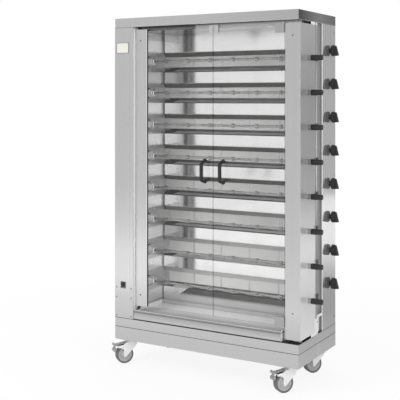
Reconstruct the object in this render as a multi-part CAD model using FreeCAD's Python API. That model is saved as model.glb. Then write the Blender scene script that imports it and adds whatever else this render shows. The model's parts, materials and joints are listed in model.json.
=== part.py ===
"""Vertical gas rotisserie on casters, built as separate named pieces (millimetres, +Z up).

The origin lies on the floor below the middle of the cabinet; the doors face -Y.
"""
import FreeCAD, Part
import math
import os

V = FreeCAD.Vector

# Cabinet sizes
WIDTH = 1094.0
DEPTH = 484.0
CASTER_H = 132.0
TROLLEY_H = 71.0
BASE_H = 48.0
CABINET_H = 1583.0
CAP_H = 50.0
SHEET = 1.5
BEND = 1.5
COLUMN_W = 121.0

# Clearances
FACE_GAP = 0.3
RUN_GAP = 0.1
MOVE_GAP = 2.0

# Rows of spits and burners, row 1 on top
ROWS = 8
LOW_ROW = 192.0
TOP_ROW = 183.5
SPIT_BACK = 122.0
KNOB_RISE = 41.5
KNOB_SPREAD = 1.9
KNOB_IN = 73.0

# Cooking chamber
JAMB_BACK = 43.0
WALL_L = 140.0
WALL_R_INSET = 50.0
WALL_DEPTH = 345.0
CEILING_DROP = 22.0
REFLECTOR_BACK = 268.0
BURNER_BACK = 289.0
BURNER_D = 50.0
TILE_HALF = 28.0
FLAT_HALF = 56.0
AIR_SLOT = 11.0
TILE_COUNT = 5
BURNER_RIM = 22.0
TILE_T = 12.0

# Doors
SETBACK = 19.0
DOOR_LOW = 74.0
DOOR_TOP = 14.0
STILE_W = 76.0
GLASS_T = 5.0
MEET_X = 605.0
MEET_GAP = 4.0
PULL_INSET_L = 48.0
PULL_INSET_R = 60.0
PULL_H = 125.0
PULL_R = 9.5
PULL_REACH = 47.5
PULL_SPLAY = 7.0
PULL_MID = 821.0
PIVOT_R = 3.0
PIVOT_LONG = 20.0
LEFT_PIVOT_IN = 10.0
LEFT_PIVOT_BACK = 8.0
PATCH_L = 52.0
PATCH_H = 46.0

# Corner post and right side
POST_W = 82.0
WING = 212.0
POST_GAP = 13.0
POST_HOLE_R = 13.5
WING_SCREW_LOW = 43.0
PANEL_Y = 300.0
GROOVE_IN = 15.0
RIB_Y = 226.0
RIB_W = 14.0

# Drip tray
TRAY_LIP_H = 49.0
TRAY_FLOOR = 42.0
TRAY_H = 62.0
TRAY_BACK = 260.0
TRAY_L = 142.0
TRAY_R = 100.0
TRAY_T = 1.5

# Drive
SHAFT_R = 10.0
SOCKET_R = 24.0
SOCKET_L = 24.0
SPROCKET_X = 94.0
SPROCKET_T = 6.0
SPROCKET_R = 30.0
SPROCKET_TEETH = 18
CHAIN_T = 5.0
BEARING_R = 27.0
BEARING_T = 12.0

# Spits
ROD_R = 6.0
TIP = 12.0
TIP_IN = 18.0
COLLAR_L = 34.0
HANDLE_R = 13.0
HANDLE_L = 57.5
HANDLE_OFF = 16.5
HANDLE_STEP_R = 14.5
HANDLE_STEP_L = 30.0
FORKS = 6
FORK_FIRST = 255.0
FORK_PITCH = 138.0
FORK_REACH = 26.0
PRONG_R = 2.4
PRONG_L = 46.0

# Gas knobs
KNOB_R = 29.5
NECK_R = 13.0
NECK_L = 10.0
HEAD_T = 17.0
GRIP_T = 19.0
GRIP_W = 20.0
STEM_R = 4.0
INLET_R = 10.48
INLET_L = 25.0

# Switch
SWITCH_X = 55.0
SWITCH_UP = 181.0
SWITCH_W = 27.0
SWITCH_H = 32.0
ROCKER_TILT = 7.0

# Casters
CASTER_IN_X = 69.0
CASTER_IN_Y = 60.0
WHEEL_R = 47.5
WHEEL_W = 32.0
TRAIL = 42.0
TRAIL_ANGLE = 232.0
REAR_LEFT_TURN = 90.0
LEG_T = 3.0
PLATE_T = 4.0
RACE_T = 6.0
AXLE_R = 5.0
FORK_BACK = 26.0
FORK_NOSE = 42.0
FORK_WAIST = 8.0
PEDAL_W = 26.0
PEDAL_L = 58.0
PEDAL_T = 4.0
PEDAL_RISE = 9.0
TOE_R = 7.0
TOE_W = 34.0
PAD_R = 11.0
PAD_BACK = 2.0
PAD_DROP = 27.0

# Gear motor
MOTOR_PLATE_Y = 124.0
MOTOR_PLATE_Z = 150.0
MOTOR_PLATE_T = 4.0
GEARBOX_OUT = 58.0
GEARBOX_Y = 84.0
GEARBOX_Z = 100.0
GEARBOX_R = 6.0
MOTOR_BOSS_R = 17.0
MOTOR_CAN_R = 26.0
MOTOR_CAN_X = 32.0
MOTOR_CAN_Z = 108.0

# Gas train
GAS_IN = 40.0
GAS_UP = 90.0
PIPE_R = 9.0
FEED_R = 5.0
VALVE_IN = 54.0
VALVE_OUT = 14.0
VALVE_HALF_Y = 13.0
VALVE_HALF_Z = 15.0

# Badge plate and vents
BADGE_IN = 14.0
BADGE_W = 77.0
BADGE_H = 55.0
BADGE_DROP = 84.0
VENT_STEP = 26.0
VENT_H = 8.0
VENT_TOP = 110.0
VENT_TOP_L = 120.0
VENT_LOW = 120.0
VENT_LOW_L = 90.0

# Door catch and the bracket at the foot of the post
CATCH_W = 52.0
CATCH_RISE = 15.0
CATCH_DROP = 23.0
END_GAP = 6.0

# Planes and levels that follow from the sizes
PITCH = (CABINET_H - LOW_ROW - TOP_ROW) / (ROWS - 1)
LEFT = -WIDTH / 2
RIGHT = WIDTH / 2
FRONT = -DEPTH / 2
BACK = DEPTH / 2
TROLLEY_Z = CASTER_H
BASE_Z = TROLLEY_Z + TROLLEY_H
DECK_Z = BASE_Z + BASE_H
CAP_Z = DECK_Z + CABINET_H
TOP_Z = CAP_Z + CAP_H
COLUMN_X = LEFT + COLUMN_W
JAMB_Y = FRONT + JAMB_BACK
WALL_LX = LEFT + WALL_L
WALL_RX = RIGHT - WALL_R_INSET
WALL_Y = FRONT + WALL_DEPTH
TILE_W = (WALL_RX - WALL_LX - 2 * BURNER_RIM) / TILE_COUNT
CEILING_Z = CAP_Z - CEILING_DROP
REFLECTOR_Y = FRONT + REFLECTOR_BACK
BURNER_Y = FRONT + BURNER_BACK
SPIT_Y = FRONT + SPIT_BACK
KNOB_Y = BACK - KNOB_IN
DOOR_Y = FRONT + SETBACK
DOOR_Z0 = DECK_Z + DOOR_LOW
DOOR_Z1 = CAP_Z - DOOR_TOP
GLASS_Y = DOOR_Y + SHEET + FACE_GAP
MEET = LEFT + MEET_X
POST_X = RIGHT - POST_W
POST_Z0 = DECK_Z + POST_GAP
LEFT_PIVOT_X = COLUMN_X + LEFT_PIVOT_IN
LEFT_PIVOT_Y = DOOR_Y + LEFT_PIVOT_BACK
RIGHT_PIVOT_X = POST_X - 8.0
RIGHT_PIVOT_Y = GLASS_Y + GLASS_T / 2
SWITCH_PX = LEFT + SWITCH_X
SWITCH_PZ = DECK_Z + SWITCH_UP


def row_z(row):
    """Height of the spit axis of a row; row 1 is the top one."""
    return DECK_Z + LOW_ROW + PITCH * (ROWS - row)


def knob_z(row):
    """Height of the gas knob of a row; the knobs stand a little further apart than the spits."""
    return row_z(row) + KNOB_RISE + KNOB_SPREAD * ((ROWS + 1) / 2 - row)


def box(x0, x1, y0, y1, z0, z1):
    return Part.makeBox(x1 - x0, y1 - y0, z1 - z0, V(x0, y0, z0))


def bar_x(radius, x0, x1, y, z):
    return Part.makeCylinder(radius, x1 - x0, V(x0, y, z), V(1, 0, 0))


def bar_y(radius, x, y0, y1, z):
    return Part.makeCylinder(radius, y1 - y0, V(x, y0, z), V(0, 1, 0))


def bar_z(radius, x, y, z0, z1):
    return Part.makeCylinder(radius, z1 - z0, V(x, y, z0), V(0, 0, 1))


def joined(shapes):
    return shapes[0].fuse(shapes[1:]).removeSplitter()


def group(shapes):
    return Part.makeCompound(shapes)


def offset_path(points, distance):
    """The points of a parallel path, distance to the left of the travel direction."""
    lines = []
    for (u0, v0), (u1, v1) in zip(points, points[1:]):
        length = math.hypot(u1 - u0, v1 - v0)
        du = (u1 - u0) / length
        dv = (v1 - v0) / length
        lines.append((u0 - dv * distance, v0 + du * distance, du, dv))
    result = [lines[0][:2]]
    for (au, av, adu, adv), (bu, bv, bdu, bdv) in zip(lines, lines[1:]):
        cross = adu * bdv - adv * bdu
        step = ((bu - au) * bdv - (bv - av) * bdu) / cross
        result.append((au + adu * step, av + adv * step))
    end_u, end_v = points[-1]
    result.append((end_u - lines[-1][3] * distance, end_v + lines[-1][2] * distance))
    return result


def corner_arc(before, corner, after, radius):
    """Start, middle and end of the arc that rounds a corner."""
    a = V(before[0] - corner[0], before[1] - corner[1], 0).normalize()
    b = V(after[0] - corner[0], after[1] - corner[1], 0).normalize()
    half = a.getAngle(b) / 2
    middle_line = (a + b).normalize()
    tip = V(corner[0], corner[1], 0)
    centre = tip + middle_line * (radius / math.sin(half))
    cut = radius / math.tan(half)
    return tip + a * cut, centre - middle_line * radius, tip + b * cut


def rounded_path(points, turns):
    """Edges along a path; each inner corner is rounded by its own radius."""
    edges = []
    start = V(points[0][0], points[0][1], 0)
    for i, radius in enumerate(turns):
        first, middle, last = corner_arc(points[i], points[i + 1], points[i + 2], radius)
        edges.append(Part.LineSegment(start, first).toShape())
        edges.append(Part.Arc(first, middle, last).toShape())
        start = last
    edges.append(Part.LineSegment(start, V(points[-1][0], points[-1][1], 0)).toShape())
    return edges


def folded(points, thickness=SHEET, bend=BEND):
    """Flat face of a folded sheet seen end on; the thickness lies left of the path."""
    near_turns = []
    far_turns = []
    for (au, av), (bu, bv), (cu, cv) in zip(points, points[1:], points[2:]):
        left_turn = (bu - au) * (cv - bv) - (bv - av) * (cu - bu) > 0
        near_turns.append(bend + thickness if left_turn else bend)
        far_turns.append(bend if left_turn else bend + thickness)
    far = offset_path(points, thickness)
    edges = rounded_path(points, near_turns) + rounded_path(far, far_turns)
    for near_end, far_end in ((points[0], far[0]), (points[-1], far[-1])):
        a = V(near_end[0], near_end[1], 0)
        b = V(far_end[0], far_end[1], 0)
        edges.append(Part.LineSegment(a, b).toShape())
    return Part.Face(Part.Wire(Part.__sortEdges__(edges)))


def upright_sheet(points, z0, z1, thickness=SHEET, bend=BEND):
    """A folded sheet drawn in plan and drawn up from z0 to z1."""
    face = folded(points, thickness, bend)
    solid = face.extrude(V(0, 0, z1 - z0))
    solid.translate(V(0, 0, z0))
    return solid


def level_sheet(points, x0, x1, thickness=SHEET, bend=BEND):
    """A folded sheet drawn in side view (y, z) and drawn along X from x0 to x1."""
    face = folded(points, thickness, bend)
    turn = FreeCAD.Placement(V(x0, 0, 0), FreeCAD.Rotation(V(0, 1, 0), V(0, 0, 1), V(1, 0, 0)))
    face.Placement = turn
    return face.extrude(V(x1 - x0, 0, 0))


def prism_x(points, x0, x1):
    """A solid drawn in side view (y, z) and drawn along X."""
    wire = Part.makePolygon([V(x0, y, z) for y, z in points + points[:1]])
    return Part.Face(wire).extrude(V(x1 - x0, 0, 0))


def slot_y(x, z, length, height, y0, y1):
    """A level slot with round ends, cut along Y."""
    half = (length - height) / 2
    middle = box(x - half, x + half, y0, y1, z - height / 2, z + height / 2)
    ends = [bar_y(height / 2, x + side * half, y0, y1, z) for side in (-1, 1)]
    return joined([middle] + ends)


def tray(x0, x1, y0, y1, z0, z1, thickness, closed_top):
    """A shallow folded tray with rounded edges round its closed side."""
    solid = box(x0, x1, y0, y1, z0, z1)
    closed_z = z1 if closed_top else z0
    soft = []
    for edge in solid.Edges:
        upright = edge.BoundBox.ZLength > thickness
        at_plate = abs(edge.BoundBox.ZMin - closed_z) < 1e-6 and not upright
        if upright or at_plate:
            soft.append(edge)
    solid = solid.makeFillet(2 * thickness, soft)
    low = z0 - 1 if closed_top else z0 + thickness
    high = z1 - thickness if closed_top else z1 + 1
    inner = box(x0 + thickness, x1 - thickness, y0 + thickness, y1 - thickness, low, high)
    upright = [e for e in inner.Edges if e.BoundBox.ZLength > thickness]
    return solid.cut(inner.makeFillet(thickness, upright))


def trolley_frame():
    pieces = [tray(LEFT, RIGHT, FRONT, BACK, TROLLEY_Z, BASE_Z, SHEET, False)]
    for x, y in caster_places().values():
        plate = box(x - 45, x + 45, y - 36, y + 36, TROLLEY_Z - PLATE_T, TROLLEY_Z)
        race = bar_z(26, x, y, TROLLEY_Z - PLATE_T - RACE_T, TROLLEY_Z - PLATE_T)
        pieces.append(joined([plate, race]))
    return group(pieces)


def base_pan():
    return tray(LEFT, RIGHT, FRONT, BACK, BASE_Z, DECK_Z, SHEET, True)


def roof_cap():
    cap = tray(LEFT, RIGHT, FRONT, BACK, CAP_Z, TOP_Z, SHEET, True)
    for i in range(-2, 3):
        x = i * WIDTH / 6
        cap = cap.cut(box(x - 55, x + 55, BACK - 130, BACK - 118, TOP_Z - 9, TOP_Z + 1))
        cap = cap.cut(box(x - 55, x + 55, BACK - 100, BACK - 88, TOP_Z - 9, TOP_Z + 1))
    return cap


def column_casing():
    """Left side sheet with a front lip behind the cover and a back lip behind the back panel."""
    path = [
        (LEFT + 20, BACK - SHEET),
        (LEFT, BACK - SHEET),
        (LEFT, FRONT + SHEET),
        (LEFT + 16, FRONT + SHEET),
    ]
    return upright_sheet(path, DECK_Z, CAP_Z)


def column_cover():
    path = [(LEFT, FRONT), (COLUMN_X, FRONT), (COLUMN_X, JAMB_Y)]
    cover = upright_sheet(path, DECK_Z, CAP_Z)
    half_w = SWITCH_W / 2 - 1.5
    half_h = SWITCH_H / 2 - 1.5
    hole = box(SWITCH_PX - half_w, SWITCH_PX + half_w, FRONT - 5, FRONT + 5,
               SWITCH_PZ - half_h, SWITCH_PZ + half_h)
    cover = cover.cut(hole)
    plate = box(LEFT + BADGE_IN, LEFT + BADGE_IN + BADGE_W, FRONT - 1, FRONT,
                CAP_Z - BADGE_DROP - BADGE_H, CAP_Z - BADGE_DROP)
    plate = plate.makeFillet(2, [e for e in plate.Edges if e.BoundBox.YLength > 0.5])
    frame = switch_frame()
    return group([cover, plate, frame])


def switch_frame():
    """Bezel and shell of the rocker switch."""
    x0 = SWITCH_PX - SWITCH_W / 2
    z0 = SWITCH_PZ - SWITCH_H / 2
    bezel = box(x0, x0 + SWITCH_W, FRONT - 2, FRONT, z0, z0 + SWITCH_H)
    shell = box(x0 + 2, x0 + SWITCH_W - 2, FRONT, FRONT + 20, z0 + 2, z0 + SWITCH_H - 2)
    well = box(x0 + 3, x0 + SWITCH_W - 3, FRONT - 3, FRONT + 18, z0 + 3, z0 + SWITCH_H - 3)
    return joined([bezel, shell]).cut(well)


def rocker():
    half_w = SWITCH_W / 2 - 3.5
    half_h = SWITCH_H / 2 - 5
    profile = [
        (FRONT + 4, -half_h + 3), (FRONT - 4, -half_h), (FRONT - 3, 0),
        (FRONT - 4, half_h), (FRONT + 4, half_h - 3),
    ]
    points = [(y, SWITCH_PZ + z) for y, z in profile]
    solid = prism_x(points, SWITCH_PX - half_w, SWITCH_PX + half_w)
    pin = bar_x(2.0, SWITCH_PX - half_w - FACE_GAP, SWITCH_PX + half_w + FACE_GAP, FRONT, SWITCH_PZ)
    solid = joined([solid, pin])
    solid.rotate(V(SWITCH_PX, FRONT, SWITCH_PZ), V(1, 0, 0), ROCKER_TILT)
    return solid


def back_panel():
    panel = box(LEFT + 2 * SHEET, RIGHT - 2 * SHEET, BACK - SHEET, BACK, DECK_Z, CAP_Z)
    for i in range(-2, 3):
        for j in range(4):
            z = CAP_Z - VENT_TOP - VENT_STEP * j
            panel = panel.cut(slot_y(i * WIDTH / 6, z, VENT_TOP_L, VENT_H, BACK - 5, BACK + 5))
            z = DECK_Z + VENT_LOW + VENT_STEP * j
            panel = panel.cut(slot_y(i * WIDTH / 8, z, VENT_LOW_L, VENT_H, BACK - 5, BACK + 5))
    return panel.cut(bar_y(INLET_R + 1, gas_x(), BACK - 5, BACK + 5, gas_z()))


def chamber_walls():
    left_path = [(COLUMN_X, JAMB_Y), (WALL_LX, JAMB_Y), (WALL_LX, WALL_Y)]
    left = upright_sheet(left_path, DECK_Z, CAP_Z)
    right_path = [(WALL_RX, WALL_Y), (WALL_RX, JAMB_Y), (RIGHT - MOVE_GAP, JAMB_Y)]
    right = upright_sheet(right_path, DECK_Z, CAP_Z)
    for row in range(1, ROWS + 1):
        left = left.cut(bar_x(SHAFT_R + 2, WALL_LX - 9, WALL_LX + 9, SPIT_Y, row_z(row)))
        right = right.cut(bar_x(POST_HOLE_R + 4, WALL_RX - 9, WALL_RX + 9, SPIT_Y, row_z(row)))
    lid_path = [(JAMB_Y, CAP_Z), (JAMB_Y, CEILING_Z), (REFLECTOR_Y, CEILING_Z)]
    lid = level_sheet(lid_path, WALL_LX + FACE_GAP, WALL_RX - FACE_GAP)
    return group([left, right, lid])


def reflector_panels():
    """Polished panels between the burners, with an open air slot below each burner."""
    x0 = WALL_LX + END_GAP
    x1 = WALL_RX - FACE_GAP
    panels = []
    for row in range(2, ROWS + 1):
        low = row_z(row)
        high = row_z(row - 1)
        path = [
            (BURNER_Y, high - TILE_HALF - SHEET - AIR_SLOT), (REFLECTOR_Y, high - FLAT_HALF),
            (REFLECTOR_Y, low + FLAT_HALF), (BURNER_Y, low + TILE_HALF + SHEET),
        ]
        panels.append(level_sheet(path, x0, x1, 1.0, 1.0))
    top = row_z(1)
    path = [
        (REFLECTOR_Y, CEILING_Z - FACE_GAP),
        (REFLECTOR_Y, top + FLAT_HALF), (BURNER_Y, top + TILE_HALF + SHEET),
    ]
    panels.append(level_sheet(path, x0, x1, 1.0, 1.0))
    low = row_z(ROWS)
    path = [
        (BURNER_Y, low - TILE_HALF - SHEET - AIR_SLOT),
        (REFLECTOR_Y, low - FLAT_HALF), (REFLECTOR_Y, DECK_Z),
    ]
    panels.append(level_sheet(path, x0, x1, 1.0, 1.0))
    return group(panels)


def tile_start():
    return WALL_LX + BURNER_RIM


def burner_boxes():
    boxes = []
    for row in range(1, ROWS + 1):
        z = row_z(row)
        half = TILE_HALF + SHEET - FACE_GAP
        shell = box(WALL_LX, WALL_RX, BURNER_Y, BURNER_Y + BURNER_D, z - half, z + half)
        x0 = tile_start() - FACE_GAP
        x1 = x0 + TILE_COUNT * TILE_W + 2 * FACE_GAP
        well = box(x0, x1, BURNER_Y - 1, BURNER_Y + BURNER_D - SHEET, z - TILE_HALF, z + TILE_HALF)
        boxes.append(shell.cut(well))
    return group(boxes)


def burner_tiles():
    tiles = []
    for row in range(1, ROWS + 1):
        z = row_z(row)
        for i in range(TILE_COUNT):
            x0 = tile_start() + i * TILE_W + FACE_GAP
            tiles.append(box(x0, x0 + TILE_W - 2 * FACE_GAP, BURNER_Y + 1, BURNER_Y + 1 + TILE_T,
                             z - TILE_HALF + FACE_GAP, z + TILE_HALF - FACE_GAP))
    return group(tiles)


def side_panel():
    deep = RIGHT - GROOVE_IN
    path = [
        (deep, FRONT + WING + 2),
        (deep, FRONT + RIB_Y),
        (RIGHT - MOVE_GAP, FRONT + RIB_Y),
        (RIGHT - MOVE_GAP, FRONT + RIB_Y + RIB_W),
        (deep, FRONT + RIB_Y + RIB_W),
        (deep, FRONT + PANEL_Y),
        (RIGHT, FRONT + PANEL_Y),
        (RIGHT, BACK - SHEET),
        (RIGHT - 20, BACK - SHEET),
    ]
    panel = upright_sheet(path, DECK_Z, CAP_Z)
    for row in range(1, ROWS + 1):
        z = knob_z(row)
        panel = panel.cut(bar_x(STEM_R + 2, RIGHT - 5, RIGHT + 5, KNOB_Y, z))
    return panel


def corner_post():
    path = [
        (POST_X, JAMB_Y - MOVE_GAP), (POST_X, DOOR_Y), (RIGHT, DOOR_Y),
        (RIGHT, FRONT + WING), (RIGHT - GROOVE_IN, FRONT + WING),
    ]
    post = upright_sheet(path, POST_Z0, DOOR_Z1, SHEET, BEND)
    for row in range(1, ROWS + 1):
        post = post.cut(bar_x(POST_HOLE_R, RIGHT - 9, RIGHT + 9, SPIT_Y, row_z(row)))
    return post


def gas_x():
    return RIGHT - GAS_IN


def gas_z():
    return DECK_Z + GAS_UP


def gas_train():
    """Upright manifold with its rear inlet, eight valves with stems and eight feed pipes."""
    pipe_y = KNOB_Y + VALVE_HALF_Y + FACE_GAP + PIPE_R
    upright = bar_z(PIPE_R, gas_x(), pipe_y, gas_z() - 20, knob_z(1) + 2 * VALVE_HALF_Z)
    level = bar_y(PIPE_R, gas_x(), pipe_y + PIPE_R + FACE_GAP, BACK + 2, gas_z())
    nipple = bar_y(INLET_R, gas_x(), BACK + 2, BACK + 2 + INLET_L, gas_z())
    pieces = [upright, joined([level, nipple])]
    feed_x = WALL_RX - GAS_IN
    burner_end = BURNER_Y + BURNER_D
    for row in range(1, ROWS + 1):
        z = knob_z(row)
        body = box(RIGHT - VALVE_IN, RIGHT - VALVE_OUT, KNOB_Y - VALVE_HALF_Y, KNOB_Y + VALVE_HALF_Y,
                   z - VALVE_HALF_Z, z + VALVE_HALF_Z)
        bonnet = bar_x(PIPE_R, RIGHT - VALVE_OUT, RIGHT - SHEET - FACE_GAP, KNOB_Y, z)
        stem = bar_x(STEM_R, RIGHT - SHEET - FACE_GAP, RIGHT + NECK_L - 2, KNOB_Y, z)
        pieces.append(joined([body, bonnet, stem]))
        along = bar_x(FEED_R, feed_x, RIGHT - VALVE_IN, KNOB_Y, z)
        down = bar_z(FEED_R, feed_x, KNOB_Y, row_z(row), z)
        ahead = bar_y(FEED_R, feed_x, burner_end, KNOB_Y, row_z(row))
        knees = [Part.makeSphere(FEED_R, V(feed_x, KNOB_Y, level_z)) for level_z in (z, row_z(row))]
        pieces.append(joined([along, down, ahead] + knees))
    return group(pieces)


def gear_motor():
    """Motor on the left side sheet, its shaft in line with the bottom drive."""
    z = row_z(ROWS)
    x0 = LEFT + SHEET
    x1 = x0 + MOTOR_PLATE_T
    gear_x = LEFT + GEARBOX_OUT
    half_y = GEARBOX_Y / 2
    half_z = GEARBOX_Z / 2
    plate = box(x0, x1, SPIT_Y - MOTOR_PLATE_Y / 2, SPIT_Y + MOTOR_PLATE_Y / 2,
                z - MOTOR_PLATE_Z / 2, z + MOTOR_PLATE_Z / 2)
    gearbox = box(x1, gear_x, SPIT_Y - half_y, SPIT_Y + half_y, z - half_z, z + half_z)
    level = [e for e in gearbox.Edges if e.BoundBox.XLength > gear_x - x1 - 1]
    gearbox = gearbox.makeFillet(GEARBOX_R, level)
    boss = bar_x(MOTOR_BOSS_R, gear_x, LEFT + SPROCKET_X - 9 - FACE_GAP, SPIT_Y, z)
    can = bar_z(MOTOR_CAN_R, LEFT + MOTOR_CAN_X, SPIT_Y, z + half_z, z + half_z + MOTOR_CAN_Z)
    return joined([plate, gearbox, boss, can])


def stadium(radius, x0, x1, y, z0, z1):
    middle = box(x0, x1, y - radius, y + radius, z0, z1)
    return joined([middle, bar_x(radius, x0, x1, y, z0), bar_x(radius, x0, x1, y, z1)])


def drive_chain():
    """One closed chain round all eight sprockets, as a plain loop just outside their teeth."""
    inner = SPROCKET_R + FACE_GAP
    x0 = LEFT + SPROCKET_X + 0.5
    x1 = x0 + SPROCKET_T - 1
    low = row_z(ROWS)
    high = row_z(1)
    loop = stadium(inner + CHAIN_T, x0, x1, SPIT_Y, low, high)
    return loop.cut(stadium(inner, x0 - 1, x1 + 1, SPIT_Y, low, high))


def bearing_flanges():
    flanges = []
    x1 = WALL_LX - SHEET
    for row in range(1, ROWS + 1):
        z = row_z(row)
        disc = bar_x(BEARING_R, x1 - 5, x1, SPIT_Y, z)
        hub = bar_x(BEARING_R - 8, x1 - BEARING_T, x1 - 5, SPIT_Y, z)
        bore = bar_x(SHAFT_R + RUN_GAP, x1 - BEARING_T - 1, x1 + 1, SPIT_Y, z)
        flanges.append(joined([disc, hub]).cut(bore))
    return group(flanges)


def pivot_pin(x, y, z, up):
    """A pin that stands on a plate at z and points up or down into a door."""
    length = PIVOT_LONG - 2 + MOVE_GAP
    return bar_z(PIVOT_R, x, y, z, z + length) if up else bar_z(PIVOT_R, x, y, z - length, z)


def door_hardware():
    """Pivot brackets of both doors, the catch, the brackets of the post and its buffer."""
    low = DOOR_Z0 - MOVE_GAP
    high = DOOR_Z1 + MOVE_GAP
    pieces = []
    for z, up in ((low, True), (high, False)):
        z0, z1 = (z - 3, z) if up else (z, z + 3)
        left = box(COLUMN_X, WALL_LX - 1, LEFT_PIVOT_Y - 8, JAMB_Y, z0, z1)
        pieces.append(joined([left, pivot_pin(LEFT_PIVOT_X, LEFT_PIVOT_Y, z, up)]))
        right = box(RIGHT_PIVOT_X - 7, POST_X - FACE_GAP, RIGHT_PIVOT_Y - 7, JAMB_Y, z0, z1)
        if up:
            right = joined([right, box(RIGHT_PIVOT_X - 7, POST_X - FACE_GAP, JAMB_Y - 3, JAMB_Y,
                                       DECK_Z, z1)])
        pieces.append(joined([right, pivot_pin(RIGHT_PIVOT_X, RIGHT_PIVOT_Y, z, up)]))
    catch_y = GLASS_Y + GLASS_T + MOVE_GAP
    pieces.append(box(MEET - CATCH_W / 2, MEET + CATCH_W / 2, catch_y, JAMB_Y,
                      CEILING_Z - CATCH_DROP, CEILING_Z + CATCH_RISE))
    pieces.append(bar_z(12, POST_X + 9 + 6, DOOR_Y + 12, DECK_Z, POST_Z0))
    wing_y = FRONT + WING
    lug_x = RIGHT - GROOVE_IN + SHEET
    foot = box(lug_x, RIGHT, wing_y - 60, wing_y - 4, DECK_Z, POST_Z0)
    head = box(lug_x, RIGHT, wing_y - 60, wing_y - 4, DOOR_Z1, CAP_Z)
    rib_y = FRONT + RIB_Y + RIB_W
    knee_z = POST_Z0 + 70
    strap = joined([
        box(RIGHT, RIGHT + SHEET, wing_y - 36, rib_y - 3, DECK_Z + 1, POST_Z0),
        box(RIGHT, RIGHT + SHEET, wing_y - 10, rib_y + 6, POST_Z0, knee_z),
        box(RIGHT, RIGHT + SHEET, wing_y + 17, FRONT + PANEL_Y - 4, knee_z, knee_z + 15),
    ])
    return group(pieces + [foot, head, strap])


def screw_head_x(y, z, x):
    return Part.makeCone(4.5, 2.8, 2.2, V(x, y, z), V(1, 0, 0))


def screw_head_y(x, z, y, rise=2.2):
    return Part.makeCone(4.5, 2.8, rise, V(x, y, z), V(0, -1, 0))


def screws():
    """Heads of the panel screws; all alike."""
    heads = []
    for x in (LEFT + 12, COLUMN_X - 14):
        for rise in (12, 112, 165):
            heads.append(screw_head_y(x, DECK_Z + rise, FRONT))
    post_x = (POST_X + RIGHT) / 2
    for z in (POST_Z0 + 130, DOOR_Z1 - 62):
        heads.append(screw_head_y(post_x, z, DOOR_Y))
    heads.append(screw_head_x(DOOR_Y + 22, (POST_Z0 + DOOR_Z1) / 2 - WING_SCREW_LOW, RIGHT))
    for z in (DECK_Z + 40, (DECK_Z + CAP_Z) / 2, CAP_Z - 40):
        heads.append(screw_head_x(BACK - 16, z, RIGHT))
    heads.append(screw_head_x(FRONT + RIB_Y + 4, POST_Z0 + 50, RIGHT + SHEET))
    return group(heads)


def left_stile():
    x0 = LEFT_PIVOT_X - 7.5
    x1 = x0 + STILE_W
    path = [(x0, LEFT_PIVOT_Y + 8), (x0, DOOR_Y), (x1, DOOR_Y)]
    pieces = [upright_sheet(path, DOOR_Z0, DOOR_Z1, SHEET, 2.5)]
    for z in (DOOR_Z0, DOOR_Z1 - PIVOT_LONG):
        block = box(x0 + SHEET, LEFT_PIVOT_X + 7, DOOR_Y + SHEET, LEFT_PIVOT_Y + 6,
                    z, z + PIVOT_LONG)
        cut = bar_z(PIVOT_R + RUN_GAP, LEFT_PIVOT_X, LEFT_PIVOT_Y, z - 1, z + PIVOT_LONG + 1)
        corner = box(x0 - 1, x0 + 5, DOOR_Y, DOOR_Y + 5, z - 1, z + PIVOT_LONG + 1)
        pieces.append(block.cut(cut).cut(corner))
    for z in (DOOR_Z1 - 60, DOOR_Z0 + 60):
        pieces.append(screw_head_y(x0 + 32, z, DOOR_Y, 1.2))
    return group(pieces)


def left_glass():
    x0 = LEFT_PIVOT_X + 7 + FACE_GAP
    return box(x0, MEET - MEET_GAP / 2, GLASS_Y, GLASS_Y + GLASS_T, DOOR_Z0, DOOR_Z1)


def pull(x):
    """Bow handle: two feet on the glass and a bar in front."""
    z0 = DECK_Z + PULL_MID - PULL_H / 2 + PULL_R
    z1 = z0 + PULL_H - 2 * PULL_R
    y0 = GLASS_Y
    y1 = GLASS_Y - PULL_REACH + PULL_R
    past = 5.0
    fall = past * PULL_SPLAY / (y0 - y1)
    points = [(y0 + past, z0 - fall), (y1, z0 + PULL_SPLAY), (y1, z1 - PULL_SPLAY), (y0 + past, z1 + fall)]
    flat = Part.Wire(Part.__sortEdges__(rounded_path(points, [15.0, 15.0])))
    rotation = FreeCAD.Rotation(V(0, 1, 0), V(0, 0, 1), V(1, 0, 0))
    flat.Placement = FreeCAD.Placement(V(x, 0, 0), rotation)
    along = V(0, y1 - y0 - past, PULL_SPLAY + fall)
    ring = Part.Wire([Part.Circle(V(x, y0 + past, z0 - fall), along, PULL_R).toShape()])
    bow = flat.makePipeShell([ring], True, False)
    bow = bow.cut(box(x - 30, x + 30, y0, y0 + 30, z0 - 40, z1 + 40))
    feet = [bar_y(PULL_R + 2, x, y0 - 4, y0, z) for z in (z0, z1)]
    return joined([bow] + feet)


def left_pull():
    return pull(MEET - PULL_INSET_L)


def right_pull():
    return pull(MEET + PULL_INSET_R)


def right_glass():
    x1 = RIGHT_PIVOT_X + 5
    pane = box(MEET + MEET_GAP / 2, x1, GLASS_Y, GLASS_Y + GLASS_T, DOOR_Z0, DOOR_Z1)
    for z0, z1 in ((DOOR_Z0 - 1, DOOR_Z0 + PATCH_H / 2), (DOOR_Z1 - PATCH_H / 2, DOOR_Z1 + 1)):
        pane = pane.cut(box(x1 - PATCH_L / 2, x1 + 1, GLASS_Y - 1, GLASS_Y + GLASS_T + 1, z0, z1))
    return pane


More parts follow.
